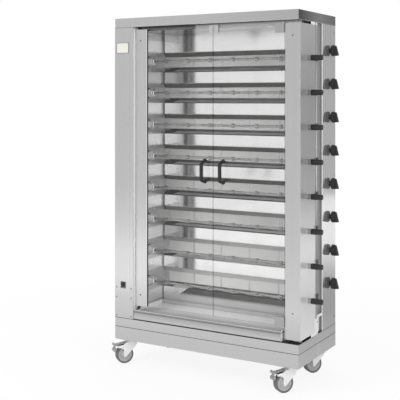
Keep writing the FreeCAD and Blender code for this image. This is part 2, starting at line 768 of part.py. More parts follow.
def right_fittings():
    """Two patch fittings that clamp the corners of the glass and take the pivot pins."""
    x1 = RIGHT_PIVOT_X + 5
    x0 = x1 - PATCH_L
    fittings = []
    for z, up in ((DOOR_Z0, True), (DOOR_Z1 - PATCH_H, False)):
        y0 = GLASS_Y - 2.5
        y1 = GLASS_Y + GLASS_T + 2.5
        body = box(x0, x1, y0, y1, z, z + PATCH_H)
        slot = box(x0 - 1, x1 + 1, GLASS_Y - FACE_GAP, GLASS_Y + GLASS_T + FACE_GAP,
                   z - 1, z + PATCH_H + 1)
        core_z = z if up else z + PATCH_H / 2 + FACE_GAP
        core = box(x1 - PATCH_L / 2 + FACE_GAP, x1, y0, y1, core_z, core_z + PATCH_H / 2 - FACE_GAP)
        body = joined([body.cut(slot), core])
        pin_z = z - 1 if up else z + PATCH_H - PIVOT_LONG
        hole = bar_z(PIVOT_R + RUN_GAP, RIGHT_PIVOT_X, RIGHT_PIVOT_Y, pin_z, pin_z + PIVOT_LONG + 1)
        fittings.append(body.cut(hole))
    return group(fittings)


def drip_tray():
    """Shallow pan on a skirt that slides out under the doors, with a wider front lip."""
    z0 = DECK_Z + FACE_GAP
    x0 = LEFT + TRAY_L
    x1 = RIGHT - TRAY_R
    y0 = FRONT + MOVE_GAP
    y1 = FRONT + TRAY_BACK
    pan = box(x0, x1, y0, y1, z0, z0 + TRAY_H)
    for low, high in ((z0 - 1, z0 + TRAY_FLOOR - TRAY_T), (z0 + TRAY_FLOOR, z0 + TRAY_H + 1)):
        pan = pan.cut(box(x0 + TRAY_T, x1 - TRAY_T, y0 + TRAY_T, y1 - TRAY_T, low, high))
    ramp = [
        (y0 - 1, z0 + TRAY_LIP_H), (y0 + 12, z0 + TRAY_LIP_H), (y0 + 60, z0 + TRAY_H),
        (y0 + 60, z0 + TRAY_H + 1), (y0 - 1, z0 + TRAY_H + 1),
    ]
    pan = pan.cut(prism_x(ramp, x0 - 1, x1 + 1))
    lip = box(COLUMN_X + MOVE_GAP, x1 + MOVE_GAP, y0, y0 + TRAY_T, z0 + 4, z0 + TRAY_LIP_H)
    hem = box(COLUMN_X + MOVE_GAP, x1 + MOVE_GAP, y0, y0 + 10, z0 + TRAY_LIP_H - TRAY_T,
              z0 + TRAY_LIP_H)
    return joined([pan, lip, hem])


def sprocket(x0, y, z):
    """Toothed wheel with straight-sided teeth."""
    points = []
    for i in range(SPROCKET_TEETH):
        for part, radius in ((0.0, 0.88), (0.3, 1.0), (0.5, 1.0), (0.8, 0.88)):
            angle = 2 * math.pi * (i + part) / SPROCKET_TEETH
            reach = SPROCKET_R * radius
            points.append((y + reach * math.cos(angle), z + reach * math.sin(angle)))
    return prism_x(points, x0, x0 + SPROCKET_T)


def drive_socket(row):
    """Sprocket, shaft and chuck of one row; the chuck takes the square tip of the spit."""
    z = row_z(row)
    x0 = LEFT + SPROCKET_X
    head_x = WALL_LX + MOVE_GAP
    shaft = bar_x(SHAFT_R, x0 - 8, head_x, SPIT_Y, z)
    head = bar_x(SOCKET_R, head_x, head_x + SOCKET_L, SPIT_Y, z)
    solid = joined([shaft, sprocket(x0, SPIT_Y, z), head])
    half = TIP / 2 + FACE_GAP
    deep = head_x + SOCKET_L - TIP_IN - MOVE_GAP
    mouth = box(deep, head_x + SOCKET_L + 1, SPIT_Y - half, SPIT_Y + half, z - half, z + half)
    solid = solid.cut(mouth)
    for i in range(4):
        notch = box(head_x + SOCKET_L - 9, head_x + SOCKET_L + 1, SPIT_Y + SOCKET_R - 8,
                    SPIT_Y + SOCKET_R + 1, z - 5, z + 5)
        notch.rotate(V(0, SPIT_Y, z), V(1, 0, 0), 45 + 90 * i)
        solid = solid.cut(notch)
    return solid


def fork(x, z, sides):
    """Clamped fork: a hub on the rod, a cross bar and prongs along the rod."""
    hub = bar_x(11, x - 7, x + 7, SPIT_Y, z)
    reach = FORK_REACH + PRONG_R
    arm = box(x - 3, x + 3, SPIT_Y - reach, SPIT_Y + reach, z - 3, z + 3)
    parts = [hub, arm]
    x0 = x - PRONG_L if -1 in sides else x
    x1 = x + PRONG_L if 1 in sides else x
    for side in (-1, 1):
        parts.append(bar_x(PRONG_R, x0, x1, SPIT_Y + side * FORK_REACH, z))
    return joined(parts).cut(bar_x(ROD_R + RUN_GAP, x - 9, x + 9, SPIT_Y, z))


def spit(row):
    """Rod with its square tip and journal collar, the forks on it and the grip."""
    z = row_z(row)
    tip_end = WALL_LX + MOVE_GAP + SOCKET_L
    grip_x = RIGHT + HANDLE_OFF
    half = TIP / 2
    tip = box(tip_end - TIP_IN, tip_end + 6, SPIT_Y - half, SPIT_Y + half, z - half, z + half)
    rod = bar_x(ROD_R, tip_end, grip_x + HANDLE_L - 8, SPIT_Y, z)
    collar = bar_x(POST_HOLE_R - FACE_GAP, grip_x - COLLAR_L - 2, grip_x, SPIT_Y, z)
    pieces = [joined([tip, rod, collar])]
    grip = bar_x(HANDLE_R, grip_x, grip_x + HANDLE_L, SPIT_Y, z)
    grip = grip.makeFillet(3.5, [e for e in grip.Edges if abs(e.BoundBox.XMin - grip_x - HANDLE_L) < 1e-6])
    step = bar_x(HANDLE_STEP_R, grip_x, grip_x + HANDLE_STEP_L, SPIT_Y, z)
    step = step.makeFillet(1.5, [e for e in step.Edges if e.BoundBox.XLength < 1e-6])
    pieces.append(joined([grip, step]).cut(bar_x(ROD_R, grip_x - 1, grip_x + HANDLE_L - 8, SPIT_Y, z)))
    for i in range(FORKS):
        sides = {0: (1,), FORKS - 1: (-1,)}.get(i, (-1, 1))
        pieces.append(fork(LEFT + FORK_FIRST + i * FORK_PITCH, z, sides))
    return group(pieces)


def gas_knob(row):
    """Knob on the valve stem: a narrow neck, a disc and a wedge grip."""
    z = knob_z(row)
    x0 = RIGHT + 0.8
    x1 = RIGHT + NECK_L
    x2 = x1 + HEAD_T
    neck = bar_x(NECK_R, x0, x1, KNOB_Y, z)
    head = bar_x(KNOB_R, x1, x2, KNOB_Y, z)
    head = head.makeFillet(3, [e for e in head.Edges if e.BoundBox.XLength < 1e-6])
    low = z - KNOB_R + 2
    high = z + KNOB_R - 3
    side = [(x2 - 4, low), (x2 + GRIP_T, low), (x2 + GRIP_T, low + 8), (x2 + 2, high), (x2 - 4, high)]
    wire = Part.makePolygon([V(x, KNOB_Y - GRIP_W / 2, level) for x, level in side + side[:1]])
    solid = joined([neck, head, Part.Face(wire).extrude(V(0, GRIP_W, 0))])
    return solid.cut(bar_x(STEM_R + RUN_GAP, x0 - 1, RIGHT + NECK_L - 1, KNOB_Y, z))


def caster_places():
    x = WIDTH / 2 - CASTER_IN_X
    y = DEPTH / 2 - CASTER_IN_Y
    return {
        "front_left": (-x, -y), "front_right": (x, -y),
        "rear_left": (-x, y), "rear_right": (x, y),
    }


def trail_angle(place):
    """Where a caster trails; the rear left one stands across the others."""
    return TRAIL_ANGLE + (REAR_LEFT_TURN if place == "rear_left" else 0.0)


def placed_caster(shape, place):
    """Turns a caster piece drawn trailing along +X to its angle and moves it to its place."""
    x, y = caster_places()[place]
    shape.rotate(V(0, 0, 0), V(0, 0, 1), trail_angle(place))
    shape.translate(V(x, y, 0))
    return shape


def head_z():
    return TROLLEY_Z - PLATE_T - RACE_T - FACE_GAP


def caster_fork(place):
    """Swivel head, two legs and the axle."""
    top = head_z()
    head = bar_z(25, 0, 0, top - 8, top)
    half = WHEEL_W / 2 + 2 + LEG_T
    bridge = box(-FORK_BACK, TRAIL - 6, -half, half, top - 11, top - 8)
    parts = [head, bridge]
    nose = TRAIL + FORK_NOSE
    waist = TRAIL + FORK_WAIST
    outline = [
        (-FORK_BACK, top - 8), (TRAIL - 6, top - 8), (TRAIL + 10, top - 20), (nose, top - 25),
        (nose, top - 33), (waist + 10, top - 38), (waist, top - 46), (waist, WHEEL_R - 6),
        (TRAIL + 4, WHEEL_R - 12), (TRAIL - 4, WHEEL_R - 12), (TRAIL - 10, WHEEL_R - 6),
        (FORK_WAIST, top - 56), (FORK_WAIST - 12, top - 44), (-FORK_BACK, top - 18),
    ]
    for side in (-1, 1):
        y0 = side * (WHEEL_W / 2 + 2 + LEG_T / 2) - LEG_T / 2
        wire = Part.makePolygon([V(x, y0, z) for x, z in outline + outline[:1]])
        parts.append(Part.Face(wire).extrude(V(0, LEG_T, 0)))
    reach = WHEEL_W / 2 + 2 + LEG_T + 4
    parts.append(bar_y(AXLE_R, TRAIL, -reach, reach, WHEEL_R))
    return placed_caster(joined(parts), place)


def caster_wheel(place):
    """Hub disc and tread, two solids."""
    half = WHEEL_W / 2
    tread_r = WHEEL_R - 10
    tyre = bar_y(WHEEL_R, TRAIL, -half, half, WHEEL_R)
    tyre = tyre.makeFillet(5, [e for e in tyre.Edges if e.BoundBox.YLength < 1e-6])
    tyre = tyre.cut(bar_y(tread_r, TRAIL, -half - 1, half + 1, WHEEL_R))
    hub = bar_y(tread_r, TRAIL, -half + 2, half - 2, WHEEL_R)
    hub = joined([hub, bar_y(12, TRAIL, -half - 1, half + 1, WHEEL_R)])
    hub = hub.cut(bar_y(AXLE_R + FACE_GAP, TRAIL, -half - 2, half + 2, WHEEL_R))
    return placed_caster(group([tyre, hub]), place)


def pedal_axis_z():
    return head_z() - 17


def brake_pedal(place):
    """Brake lever on a cross pin between the legs."""
    z = pedal_axis_z()
    half = PEDAL_W / 2
    near = TRAIL - 3
    far = TRAIL + PEDAL_L
    slope = [(near, z + PEDAL_RISE), (near, z + PEDAL_RISE - PEDAL_T), (far, z - PEDAL_T), (far, z)]
    wire = Part.makePolygon([V(x, -half, level) for x, level in slope + slope[:1]])
    plate = Part.Face(wire).extrude(V(0, PEDAL_W, 0))
    lug = box(near, TRAIL + 4, -half, half, z - 3, z + PEDAL_RISE - 2)
    toe = bar_y(TOE_R, TRAIL + PEDAL_L, -TOE_W / 2, TOE_W / 2, z)
    pad_x = TRAIL + PEDAL_L - PAD_BACK
    pad = bar_y(PAD_R, pad_x, -half, half, z - PAD_DROP)
    web = box(pad_x - 3, pad_x + 3, -half + 3, half - 3, z - PAD_DROP, z)
    lever = joined([plate, lug, toe, pad, web])
    reach = WHEEL_W / 2 + 2 - FACE_GAP
    pin = bar_y(4, TRAIL, -reach, reach, z)
    return placed_caster(joined([lever, pin]), place)


def pieces():
    """Every node by name."""
    nodes = {
        "trolley_frame": trolley_frame(), "base_pan": base_pan(), "roof_cap": roof_cap(),
        "column_casing": column_casing(), "column_cover": column_cover(), "back_panel": back_panel(),
        "chamber_walls": chamber_walls(), "reflector_panels": reflector_panels(),
        "burner_boxes": burner_boxes(), "burner_tiles": burner_tiles(), "side_panel": side_panel(),
        "corner_post": corner_post(), "gas_train": gas_train(), "gear_motor": gear_motor(),
        "drive_chain": drive_chain(), "bearing_flanges": bearing_flanges(),
        "door_hardware": door_hardware(), "screws": screws(), "left_stile": left_stile(),
        "left_glass": left_glass(), "left_pull": left_pull(), "right_fittings": right_fittings(),
        "right_glass": right_glass(), "right_pull": right_pull(), "drip_tray": drip_tray(),
        "rocker": rocker(),
    }
    for row in range(1, ROWS + 1):
        nodes[f"drive_socket_{row}"] = drive_socket(row)
        nodes[f"spit_{row}"] = spit(row)
        nodes[f"gas_knob_{row}"] = gas_knob(row)
    for place in caster_places():
        nodes[f"caster_fork_{place}"] = caster_fork(place)
        nodes[f"caster_wheel_{place}"] = caster_wheel(place)
        if place.startswith("front"):
            nodes[f"brake_pedal_{place}"] = brake_pedal(place)
    return nodes


def main():
    os.makedirs("parts", exist_ok=True)
    for name, shape in pieces().items():
        shape.exportStep(f"parts/{name}.step")


if __name__ == "__main__":
    main()
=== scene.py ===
# %% [markdown]
# # A vertical rotisserie
# The object is a tall gas rotisserie on casters: a steel cabinet with two glass doors, eight spits, eight
# burners behind them and a gas knob for each. The measured frame already holds every sheet and joint.
# It could be remodelled here, but then sizes could drift, so it is loaded and only dressed.

# %% Load the measured frame
import json
import math

import bmesh
import bpy
from mathutils import Matrix, Vector


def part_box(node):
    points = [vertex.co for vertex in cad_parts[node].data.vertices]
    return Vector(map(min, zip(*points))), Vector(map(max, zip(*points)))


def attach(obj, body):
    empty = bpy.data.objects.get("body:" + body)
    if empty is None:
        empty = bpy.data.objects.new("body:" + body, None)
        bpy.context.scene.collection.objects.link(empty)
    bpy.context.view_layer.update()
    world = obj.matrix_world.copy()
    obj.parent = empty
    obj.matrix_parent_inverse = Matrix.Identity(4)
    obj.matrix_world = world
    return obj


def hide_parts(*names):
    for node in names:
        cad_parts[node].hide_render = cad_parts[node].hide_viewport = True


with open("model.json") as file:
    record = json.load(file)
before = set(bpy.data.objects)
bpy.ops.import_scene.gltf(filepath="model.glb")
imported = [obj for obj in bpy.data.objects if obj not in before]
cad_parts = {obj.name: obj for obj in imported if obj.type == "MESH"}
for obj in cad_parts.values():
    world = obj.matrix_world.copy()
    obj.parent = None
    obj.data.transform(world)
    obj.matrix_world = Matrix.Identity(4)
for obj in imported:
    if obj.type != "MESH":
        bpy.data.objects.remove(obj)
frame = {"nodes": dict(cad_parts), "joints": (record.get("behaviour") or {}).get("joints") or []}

MM = 0.001
scene = bpy.context.scene
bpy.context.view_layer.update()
nodes = frame["nodes"]

# %% [markdown]
# ## A way to write finishes
# A finish is a small network of nodes. It could be wired by hand, one link at a time, but sums of noise are
# easier to read as sums. So one class wraps a value and turns + - * / into Math nodes, and another adds any
# other node by its kind, its settings and its sockets.

# %% Values on a node board
def plug(slot, value):
    """Links a value to a socket, or sets a plain number or colour there."""
    if isinstance(value, Flow):
        slot.id_data.links.new(value.socket, slot)
    else:
        slot.default_value = value


def maths(operation, swapped=False):
    """A method that adds one Math node to the board of its value."""
    def method(self, other=0.0):
        node = self.socket.id_data.nodes.new("ShaderNodeMath")
        node.operation = operation
        for slot, value in zip(node.inputs, (other, self) if swapped else (self, other)):
            plug(slot, value)
        return Flow(node.outputs[0])
    return method


class Flow:
    """A value on its way through a node board; arithmetic on it adds Math nodes."""

    def __init__(self, socket):
        self.socket = socket

    __add__, __radd__ = maths("ADD"), maths("ADD", True)
    __sub__, __rsub__ = maths("SUBTRACT"), maths("SUBTRACT", True)
    __mul__, __truediv__, __pow__ = maths("MULTIPLY"), maths("DIVIDE"), maths("POWER")
    __lt__, __gt__ = maths("LESS_THAN"), maths("GREATER_THAN")
    __abs__ = maths("ABSOLUTE")
    most = maths("MAXIMUM")
    part = maths("FRACT")  # what is left after the whole number is taken off


print("values ready")

# %% Boards and finishes
EVEN, WARM = (1.0, 1.0, 1.0), (0.004, 0.002, 0.0)


class Board:
    """A node board; add() puts a node on it and gives one of its outputs."""

    def __init__(self, tree):
        self.tree = tree

    def feed(self, node, sockets):
        for key, value in sockets.items():
            plug([s for s in node.inputs if s.enabled and s.name == key][0], value)

    def add(self, kind, settings=None, sockets=None, output=None):
        node = self.tree.nodes.new(kind)
        for key, value in (settings or {}).items():
            setattr(node, key, value)
        self.feed(node, sockets or {})
        shown = [s for s in node.outputs if s.enabled and (output is None or s.name == output)]
        return Flow(shown[0])

    def split(self, vector=None):
        """The three numbers of a vector, or of the place on the piece."""
        node = self.add("ShaderNodeSeparateXYZ", {}, {"Vector": vector or self.place}, "X").socket.node
        return [Flow(node.outputs[axis]) for axis in "XYZ"]

    def rays(self):
        """Whether a ray comes from the camera, off a mirror or through glass."""
        node = self.add("ShaderNodeLightPath").socket.node
        return [Flow(node.outputs["Is %s Ray" % kind]) for kind in ("Camera", "Glossy", "Transmission")]


class Finish(Board):
    """A material with its board; dress() feeds the surface shader."""

    def __init__(self, name):
        self.material = bpy.data.materials.new(name)
        self.material.use_nodes = True
        super().__init__(self.material.node_tree)
        self.surface = self.tree.nodes["Principled BSDF"]
        self.place = self.add("ShaderNodeTexCoord", output="Object")

    def dress(self, colour=None, rough=None, metal=None, dents=None, alpha=None):
        """Feeds the surface what is given; dents are a height, a strength and a depth in metres."""
        if dents:
            dents = self.add("ShaderNodeBump", {}, dict(zip(("Height", "Strength", "Distance"), dents)))
        given = {"Base Color": colour, "Roughness": rough, "Metallic": metal, "Normal": dents, "Alpha": alpha}
        self.feed(self.surface, {key: value for key, value in given.items() if value is not None})
        return self.material

    def noise(self, scale, detail=2.0, stretch=EVEN, roughness=0.5):
        """Cloudy noise from 0 to 1; stretch sets how fine it is along each axis."""
        drawn = self.add("ShaderNodeMapping", {}, {"Vector": self.place, "Scale": stretch})
        return self.add("ShaderNodeTexNoise", {}, {"Vector": drawn, "Scale": scale, "Detail": detail,
                                                   "Roughness": roughness}, "Fac")

    def blend(self, amount, low, high):
        """A colour between two; a plain number stands for a grey."""
        low, high = (grey(side) if isinstance(side, float) else side for side in (low, high))
        return self.add("ShaderNodeMix", {"data_type": "RGBA"}, {"Factor": amount, "A": low, "B": high})

    def layers(self, colour, *coats):
        """Lays coats over a colour; a coat is its share and its colour."""
        for share, coat in coats:
            colour = self.blend(share, colour, coat)
        return colour

    def fade(self, colour, height, film_and_shade):
        """Paints shade and light by height: dims a colour by the shares a list gives for heights in metres."""
        kept = self.add("ShaderNodeValToRGB", {}, {"Fac": height * 0.5}, "Color")
        ramp = kept.socket.node.color_ramp.elements
        while len(ramp) < len(film_and_shade):
            ramp.new(0.5)
        for stop, (place, share) in zip(ramp, film_and_shade):
            stop.position = place / 2.0
            stop.color = grey(share)
        return self.add("ShaderNodeMix", {"data_type": "RGBA", "blend_type": "MULTIPLY"},
                        {"Factor": 1.0, "A": colour, "B": kept})

    def limit(self, value, low, high, start=None):
        """Stretches low..high of a value to 0..1 and cuts off the rest; with a start, both are mm from it."""
        if start is not None:
            low, high = start + low * MM, start + high * MM
        return self.add("ShaderNodeMapRange", {"clamp": True},
                        {"Value": value, "From Min": low, "From Max": high})

    def drop(self, value, low, high, start=None):
        """The other way round: 1 up to low and 0 from high on."""
        return 1.0 - self.limit(value, low, high, start)


def grey(level, tint=(0.0, 0.0, 0.0)):
    return (level + tint[0], level + tint[1], level + tint[2], 1.0)


def paint(node_names, material):
    for node_name in node_names:
        nodes[node_name].data.materials[0] = material


print("boards ready")

# %% [markdown]
# ## Brushed steel
# The cabinet is folded from stainless sheet with a satin brushing: fine lines along one direction, and faint
# wide bands where the belt pressed harder. A photograph of such a sheet could be used, but stretched noise
# gives the same lines without an image, and they keep their real size on every panel. Where two sheets meet,
# a thin dark line of painted shade marks the joint, so a finish can also be given the heights of its seams.
# A finish can also be given painted shade and light by height.

# %% Brushed steel with seams
SEAM_HALF, SEAM_EDGE = 1.0 * MM, 1.9 * MM


def brushed_steel(name, stretch, tone, gloss, seams=(), film_and_shade=(), metal=1.0):
    """stretch is 1 across the brushing; seams are heights, each marked by a thin line of painted shade; the
    list of heights gives how much of the tone is left at each, which paints shade and light by height; metal is
    the share that mirrors. Gives the board with the values so far, so that a sheet can add its own marks before
    it is dressed."""
    finish = Finish(name)
    x, y, z = finish.split()
    lines = finish.noise(1.0, 3.0, tuple(820.0 * s + 4.0 for s in stretch), 0.65)
    bands = finish.noise(1.0, 2.0, tuple(30.0 * s + 0.8 for s in stretch))
    clouds = finish.noise(1.7, 3.0)
    marks = finish.limit(finish.noise(21.0, 4.0, EVEN, 0.7), 0.64, 0.76)
    shade = lines * 0.40 + bands * 0.32 + clouds * 0.28
    colour = finish.blend(shade, tone - 0.07, grey(tone + 0.07, (0.0, 0.002, 0.004)))
    if film_and_shade:
        colour = finish.fade(colour, z, film_and_shade)
    rough = gloss + (lines - 0.5) * 0.08 + (bands - 0.5) * 0.04 + marks * 0.05
    # Painted shade: a thin dark line at each seam height.
    for height in seams:
        joint = finish.drop(abs(z - height), SEAM_HALF, SEAM_EDGE)
        colour = finish.blend(joint * 0.9, colour, 0.05)
        rough = rough + joint * 0.3
    finish.dress(colour, rough, metal, (lines, 0.03, 0.0005))
    return finish, colour, (x, y, z)


base_low, base_top = (corner.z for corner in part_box("base_pan"))
cap_low, right_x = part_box("roof_cap")[0].z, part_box("roof_cap")[1].x
joints = (base_top, cap_low)
UPRIGHT, LEVEL = (1.0, 1.0, 0.0), (0.0, 0.0, 1.0)
# Painted shade and light by height on the column's front and the stile: shares of the tone at heights in metres.
FRONT_SHADE_BY_HEIGHT = ((0.25, 0.84), (0.36, 0.86), (0.48, 1.0), (0.62, 0.98), (0.76, 0.86), (0.98, 0.78), (1.9, 0.76))
COVER_SIDE = -0.238  # behind this y the cover's inner edge is seen from the side
finish, colour, (x, y, z) = brushed_steel("brushed_column", UPRIGHT, 0.79, 0.26, joints, FRONT_SHADE_BY_HEIGHT)
inner_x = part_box("column_cover")[1].x
# Painted light: the cover's inner edge, seen from the side, is painted pale and matt.
gap = finish.limit(x, -1.2, -0.4, inner_x) * finish.limit(y, -0.5, 0.5, COVER_SIDE)
finish.dress(finish.blend(gap, colour, 0.92), metal=1.0 - gap * 0.8)
paint(("column_cover", "column_casing", "back_panel"), finish.material)

# Painted shade and light by height on the post's side wing and on its front.
WING_SHADE_BY_HEIGHT = ((0.25, 1.0), (0.60, 0.98), (0.72, 0.90), (0.82, 0.70), (0.98, 0.50), (1.45, 0.46), (1.8, 0.58))
POST_SHADE_BY_HEIGHT = ((0.25, 0.88), (0.40, 0.98), (0.50, 0.90), (0.75, 0.82), (1.0, 0.79), (1.9, 0.79))
WING_START = -0.2215  # behind this y the post's side wing begins
finish, colour, (x, y, z) = brushed_steel("brushed_post", UPRIGHT, 0.74, 0.32)
# Painted light: the side wing is paler and less mirror-like than the post's front.
wing = finish.limit(x, -2.0, -1.0, right_x) * finish.limit(y, -1.0, 1.0, WING_START)
front = finish.fade(colour, z, POST_SHADE_BY_HEIGHT)
side = finish.fade(finish.blend(0.6, colour, 0.95), z, WING_SHADE_BY_HEIGHT)
finish.dress(finish.blend(wing, front, side), metal=1.0 - wing * 0.45)
paint(("corner_post",), finish.material)
print("column and post done")

# %% Panel, cap and base
# Painted shade and light by height on the knob panel.
PANEL_SHADE_BY_HEIGHT = ((0.25, 0.74), (0.42, 0.76), (0.62, 0.95), (0.85, 1.0), (1.15, 0.92), (1.8, 0.84))
GROOVE_EDGE, GROOVE_END = 0.050, 0.060
finish, colour, (x, y, z) = brushed_steel("brushed_knob_panel", UPRIGHT, 0.80, 0.11, joints, PANEL_SHADE_BY_HEIGHT, 0.86)
# Painted shade darkens the groove; painted highlights brighten the rib and the groove's edge.
groove_shade = finish.drop(x, -4.2, -3.6, right_x) * (y < GROOVE_END)
rib_highlight = finish.limit(x, -3.4, -3.0, right_x) * (y < 0.0)
edge = finish.limit(x, -4.0, -3.2, right_x) * (y < GROOVE_END) * (y > GROOVE_EDGE)
dull = groove_shade.most(rib_highlight).most(edge)
colour = finish.layers(colour, (groove_shade, 0.30), (rib_highlight.most(edge * 0.8), 0.94))
finish.dress(colour, 0.11 + dull * 0.4, 0.86 - dull * 0.74)
paint(("side_panel",), finish.material)

finish, colour, (x, y, z) = brushed_steel("brushed_cap", LEVEL, 0.60, 0.28)
# Painted shade: the cap's right part is darker, and its right end is darkest at the front. A painted bright line
# runs along the cap's lower edge from x -0.06 on to the right.
darker = finish.limit(x, -0.1, 0.55) * 0.55
end = finish.limit(x, -2.0, -0.5, right_x)
shade = 0.90 - finish.limit(y, -0.22, 0.0) * 0.58 + finish.limit(y, 0.02, 0.24) * 0.30
under = finish.drop(z, 0.4, 0.9, cap_low) * finish.limit(x, -0.07, -0.05)
colour = finish.layers(colour, (darker, 0.45), (end * shade, 0.07), (under, 0.92))
finish.dress(colour, metal=1.0 - under * 0.8)
paint(("roof_cap",), finish.material)

finish, colour, (x, y, z) = brushed_steel("brushed_base", LEVEL, 0.67, 0.26, (base_low, base_top))
# A pale vertical line down the middle of the right face.
pale_line = finish.limit(x, -1.0, -0.5, right_x) * finish.drop(abs(y), 1.0 * MM, 2.0 * MM)
finish.dress(finish.blend(pale_line, colour, 0.95))
paint(("base_pan", "trolley_frame"), finish.material)
print("brushed sheets; seams at", round(base_low, 4), round(base_top, 4), round(cap_low, 4))

# %% [markdown]
# ## Door stile
# The left door hangs on a folded steel stile. Its face is brushed like the cabinet, with painted shade and light
# by height. Its inner side, which looks into the chamber, is pale: polished at its edge, and elsewhere dull and
# painted a pale matt white that stands in for the light in the chamber. One finish can do both, because the
# sheet's inner side lies further back. Two dark dots are painted shade in the screw holes.

# %% Stile with a bright inner side
finish, tone, gloss = Finish("brushed_stile"), 0.80, 0.25
x, y, z = finish.split()
low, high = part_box("left_stile")
inner = finish.limit(y, 1.9, 2.6, low.y)
lines = finish.noise(1.0, 3.0, (820.0, 820.0, 4.0), 0.65)
bands = finish.noise(1.0, 2.0, (30.0, 30.0, 0.8))
colour = finish.blend(lines * 0.5 + bands * 0.5, tone - 0.07, tone + 0.07)
colour = finish.fade(colour, z, FRONT_SHADE_BY_HEIGHT)
# Painted shade: two dark dots in the screw holes.
for screw_z in (high.z - 60 * MM, low.z + 60 * MM):
    off_x = (x - (low.x + 32 * MM)) * 1000.0
    off_z = (z - screw_z) * 1000.0
    dot = finish.drop(off_x * off_x + off_z * off_z, 14.0, 24.0)
    colour = finish.blend(dot * 0.9, colour, 0.06)
# Painted light: the inner side is pale, and where it lies back from the edge it is matt.
colour = finish.blend(inner, colour, 0.96)
rear = inner * finish.drop(x, -5.0, -4.0, high.x)
rough = (gloss + (lines - 0.5) * 0.08 + (bands - 0.5) * 0.04) * (1.0 - inner) + inner * 0.05 + rear * 0.5
paint(("left_stile",), finish.dress(colour, rough, 1.0 - rear * 0.9, (lines * (1.0 - inner), 0.03, 0.0005)))
print("stile finish:", finish.material.name)

# %% [markdown]
# ## Polished chamber
# The chamber walls and the panels between the burners are polished so that they throw the heat back. They
# could be perfect mirrors, but thin sheet is never quite flat, so a slow swell bends the reflections a little,
# and fat leaves cloudy patches. The flank above every burner carries a painted dark reflection, as do the lips
# of the flat panels, a band at the bottom and the lintel's left part; the flank below every burner carries
# painted shade, and the ceiling is smoked. The left wall is duller, with painted shade in a band beside every
# burner and painted light near the door and in a paler band beside every flat panel. The rows repeat at one
# pitch, so the part that is left after dividing by the pitch tells how far a point is from its burner.

# %% Chamber walls
rows = range(1, 9)
row_height = {row: sum(corner.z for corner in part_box("drive_socket_%d" % row)) / 2 for row in rows}
pitch = (row_height[1] - row_height[8]) / 7
ceiling_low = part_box("reflector_panels")[1].z
LINTEL_BACK = -0.1972  # in front of this y lies the lintel
LEFT_WALL = -0.400  # up to this x lies the left wall
BURNER_SHARE = 0.31  # of the pitch, from the middle of a burner to its edge
finish, tone, gloss = Finish("chamber_steel"), 0.88, 0.11
x, y, z = finish.split()
slow = finish.noise(3.0, 1.0, (0.6, 1.0, 1.4))
film_and_shade = finish.limit(finish.noise(5.0, 5.0, (1.0, 1.0, 2.2), 0.6), 0.45, 0.80)
from_row = abs(((z - row_height[8]) / pitch + 0.5).part() - 0.5)
splash = finish.drop(from_row, 0.10, 0.42) * finish.limit(y, -0.22, -0.02)
low = finish.drop(z, 0.30, 0.62)
smoke = finish.limit(z, -1.0, -0.2, ceiling_low) * finish.limit(y, -1.3, 0.0, LINTEL_BACK)
lintel = finish.drop(y, -1.0, 0.0, LINTEL_BACK)
# Painted dark reflection on the lintel's front left of x -0.06.
lintel_dark_reflection = finish.drop(x, -0.062, -0.056)
left_wall = finish.drop(x, 0.0, 2.0, LEFT_WALL)
# Painted light: the left wall is pale and matt near the door and beside every flat panel; painted shade darkens
# it beside every burner.
lit_near_door = left_wall * finish.drop(y, -0.165, -0.135) * (1.0 - lintel)
dull = (z > row_height[2]) * (z < row_height[1])
flat = finish.limit(from_row, BURNER_SHARE, BURNER_SHARE + 0.02)
lit_beside_flat = left_wall * flat * (1.0 - dull) * finish.limit(z, 0.52, 0.58)
shade_beside_burner = left_wall * (1.0 - flat) * finish.limit(y, -0.16, -0.10)
stain = film_and_shade * 0.4 + splash * 0.5 + low * 0.3
colour = finish.blend(stain, tone, grey(tone - 0.26, WARM))
colour = finish.layers(colour, (smoke, 0.13), (lintel, 0.50), (lintel * lintel_dark_reflection * 0.85, 0.08),
                       (lit_near_door, 0.96), (lit_beside_flat, 0.98), (shade_beside_burner * 0.5, 0.36))
rough = gloss + film_and_shade * 0.05 + splash * 0.06 + low * 0.08 + lintel * 0.2 + left_wall * 0.14
metal = 1.0 - left_wall * 0.35 - lit_near_door * 0.5 - lit_beside_flat * (1.0 - lit_near_door) * 0.35
paint(("chamber_walls",), finish.dress(colour, rough, metal, (slow, 0.10, 0.004)))
print("row pitch:", round(pitch, 4), "ceiling at", round(ceiling_low, 4))

# %% Reflector panels with heat bands
FLAT_TOP = 0.054  # below a row's middle, where the flat panel under its burner begins
GAP_START = 0.05  # above and below a row's middle, where the bare gap to the next row begins
finish, tone, gloss = Finish("reflector_steel"), 0.97, 0.085
x, y, z = finish.split()
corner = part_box("reflector_panels")[0]
slow = finish.noise(2.6, 1.0, (0.5, 1.0, 1.6))
film_and_shade = finish.limit(finish.noise(4.0, 5.0, (1.0, 1.0, 2.4), 0.6), 0.45, 0.85)
dark_streaks = finish.noise(30.0, 4.0, (0.35, 1.0, 1.0), 0.7)
flank = finish.limit(y, 1.6, 2.6, corner.y)
from_row = (((z - row_height[8]) / pitch + 0.5).part() - 0.5) * pitch
above = finish.limit(from_row, 0.0, 1.0 * MM)
lip = finish.drop(abs(from_row + FLAT_TOP), 2.0 * MM, 4.0 * MM) * (z < row_height[1])
splash = finish.drop(z, -60.0, -57.0, row_height[8]) * finish.drop(z, 0.338, 0.362)
bottom = finish.drop(z, 0.402, 0.410) * (1.0 - splash) * finish.limit(x + (0.38 - z) * 1.4, -0.262, -0.252)
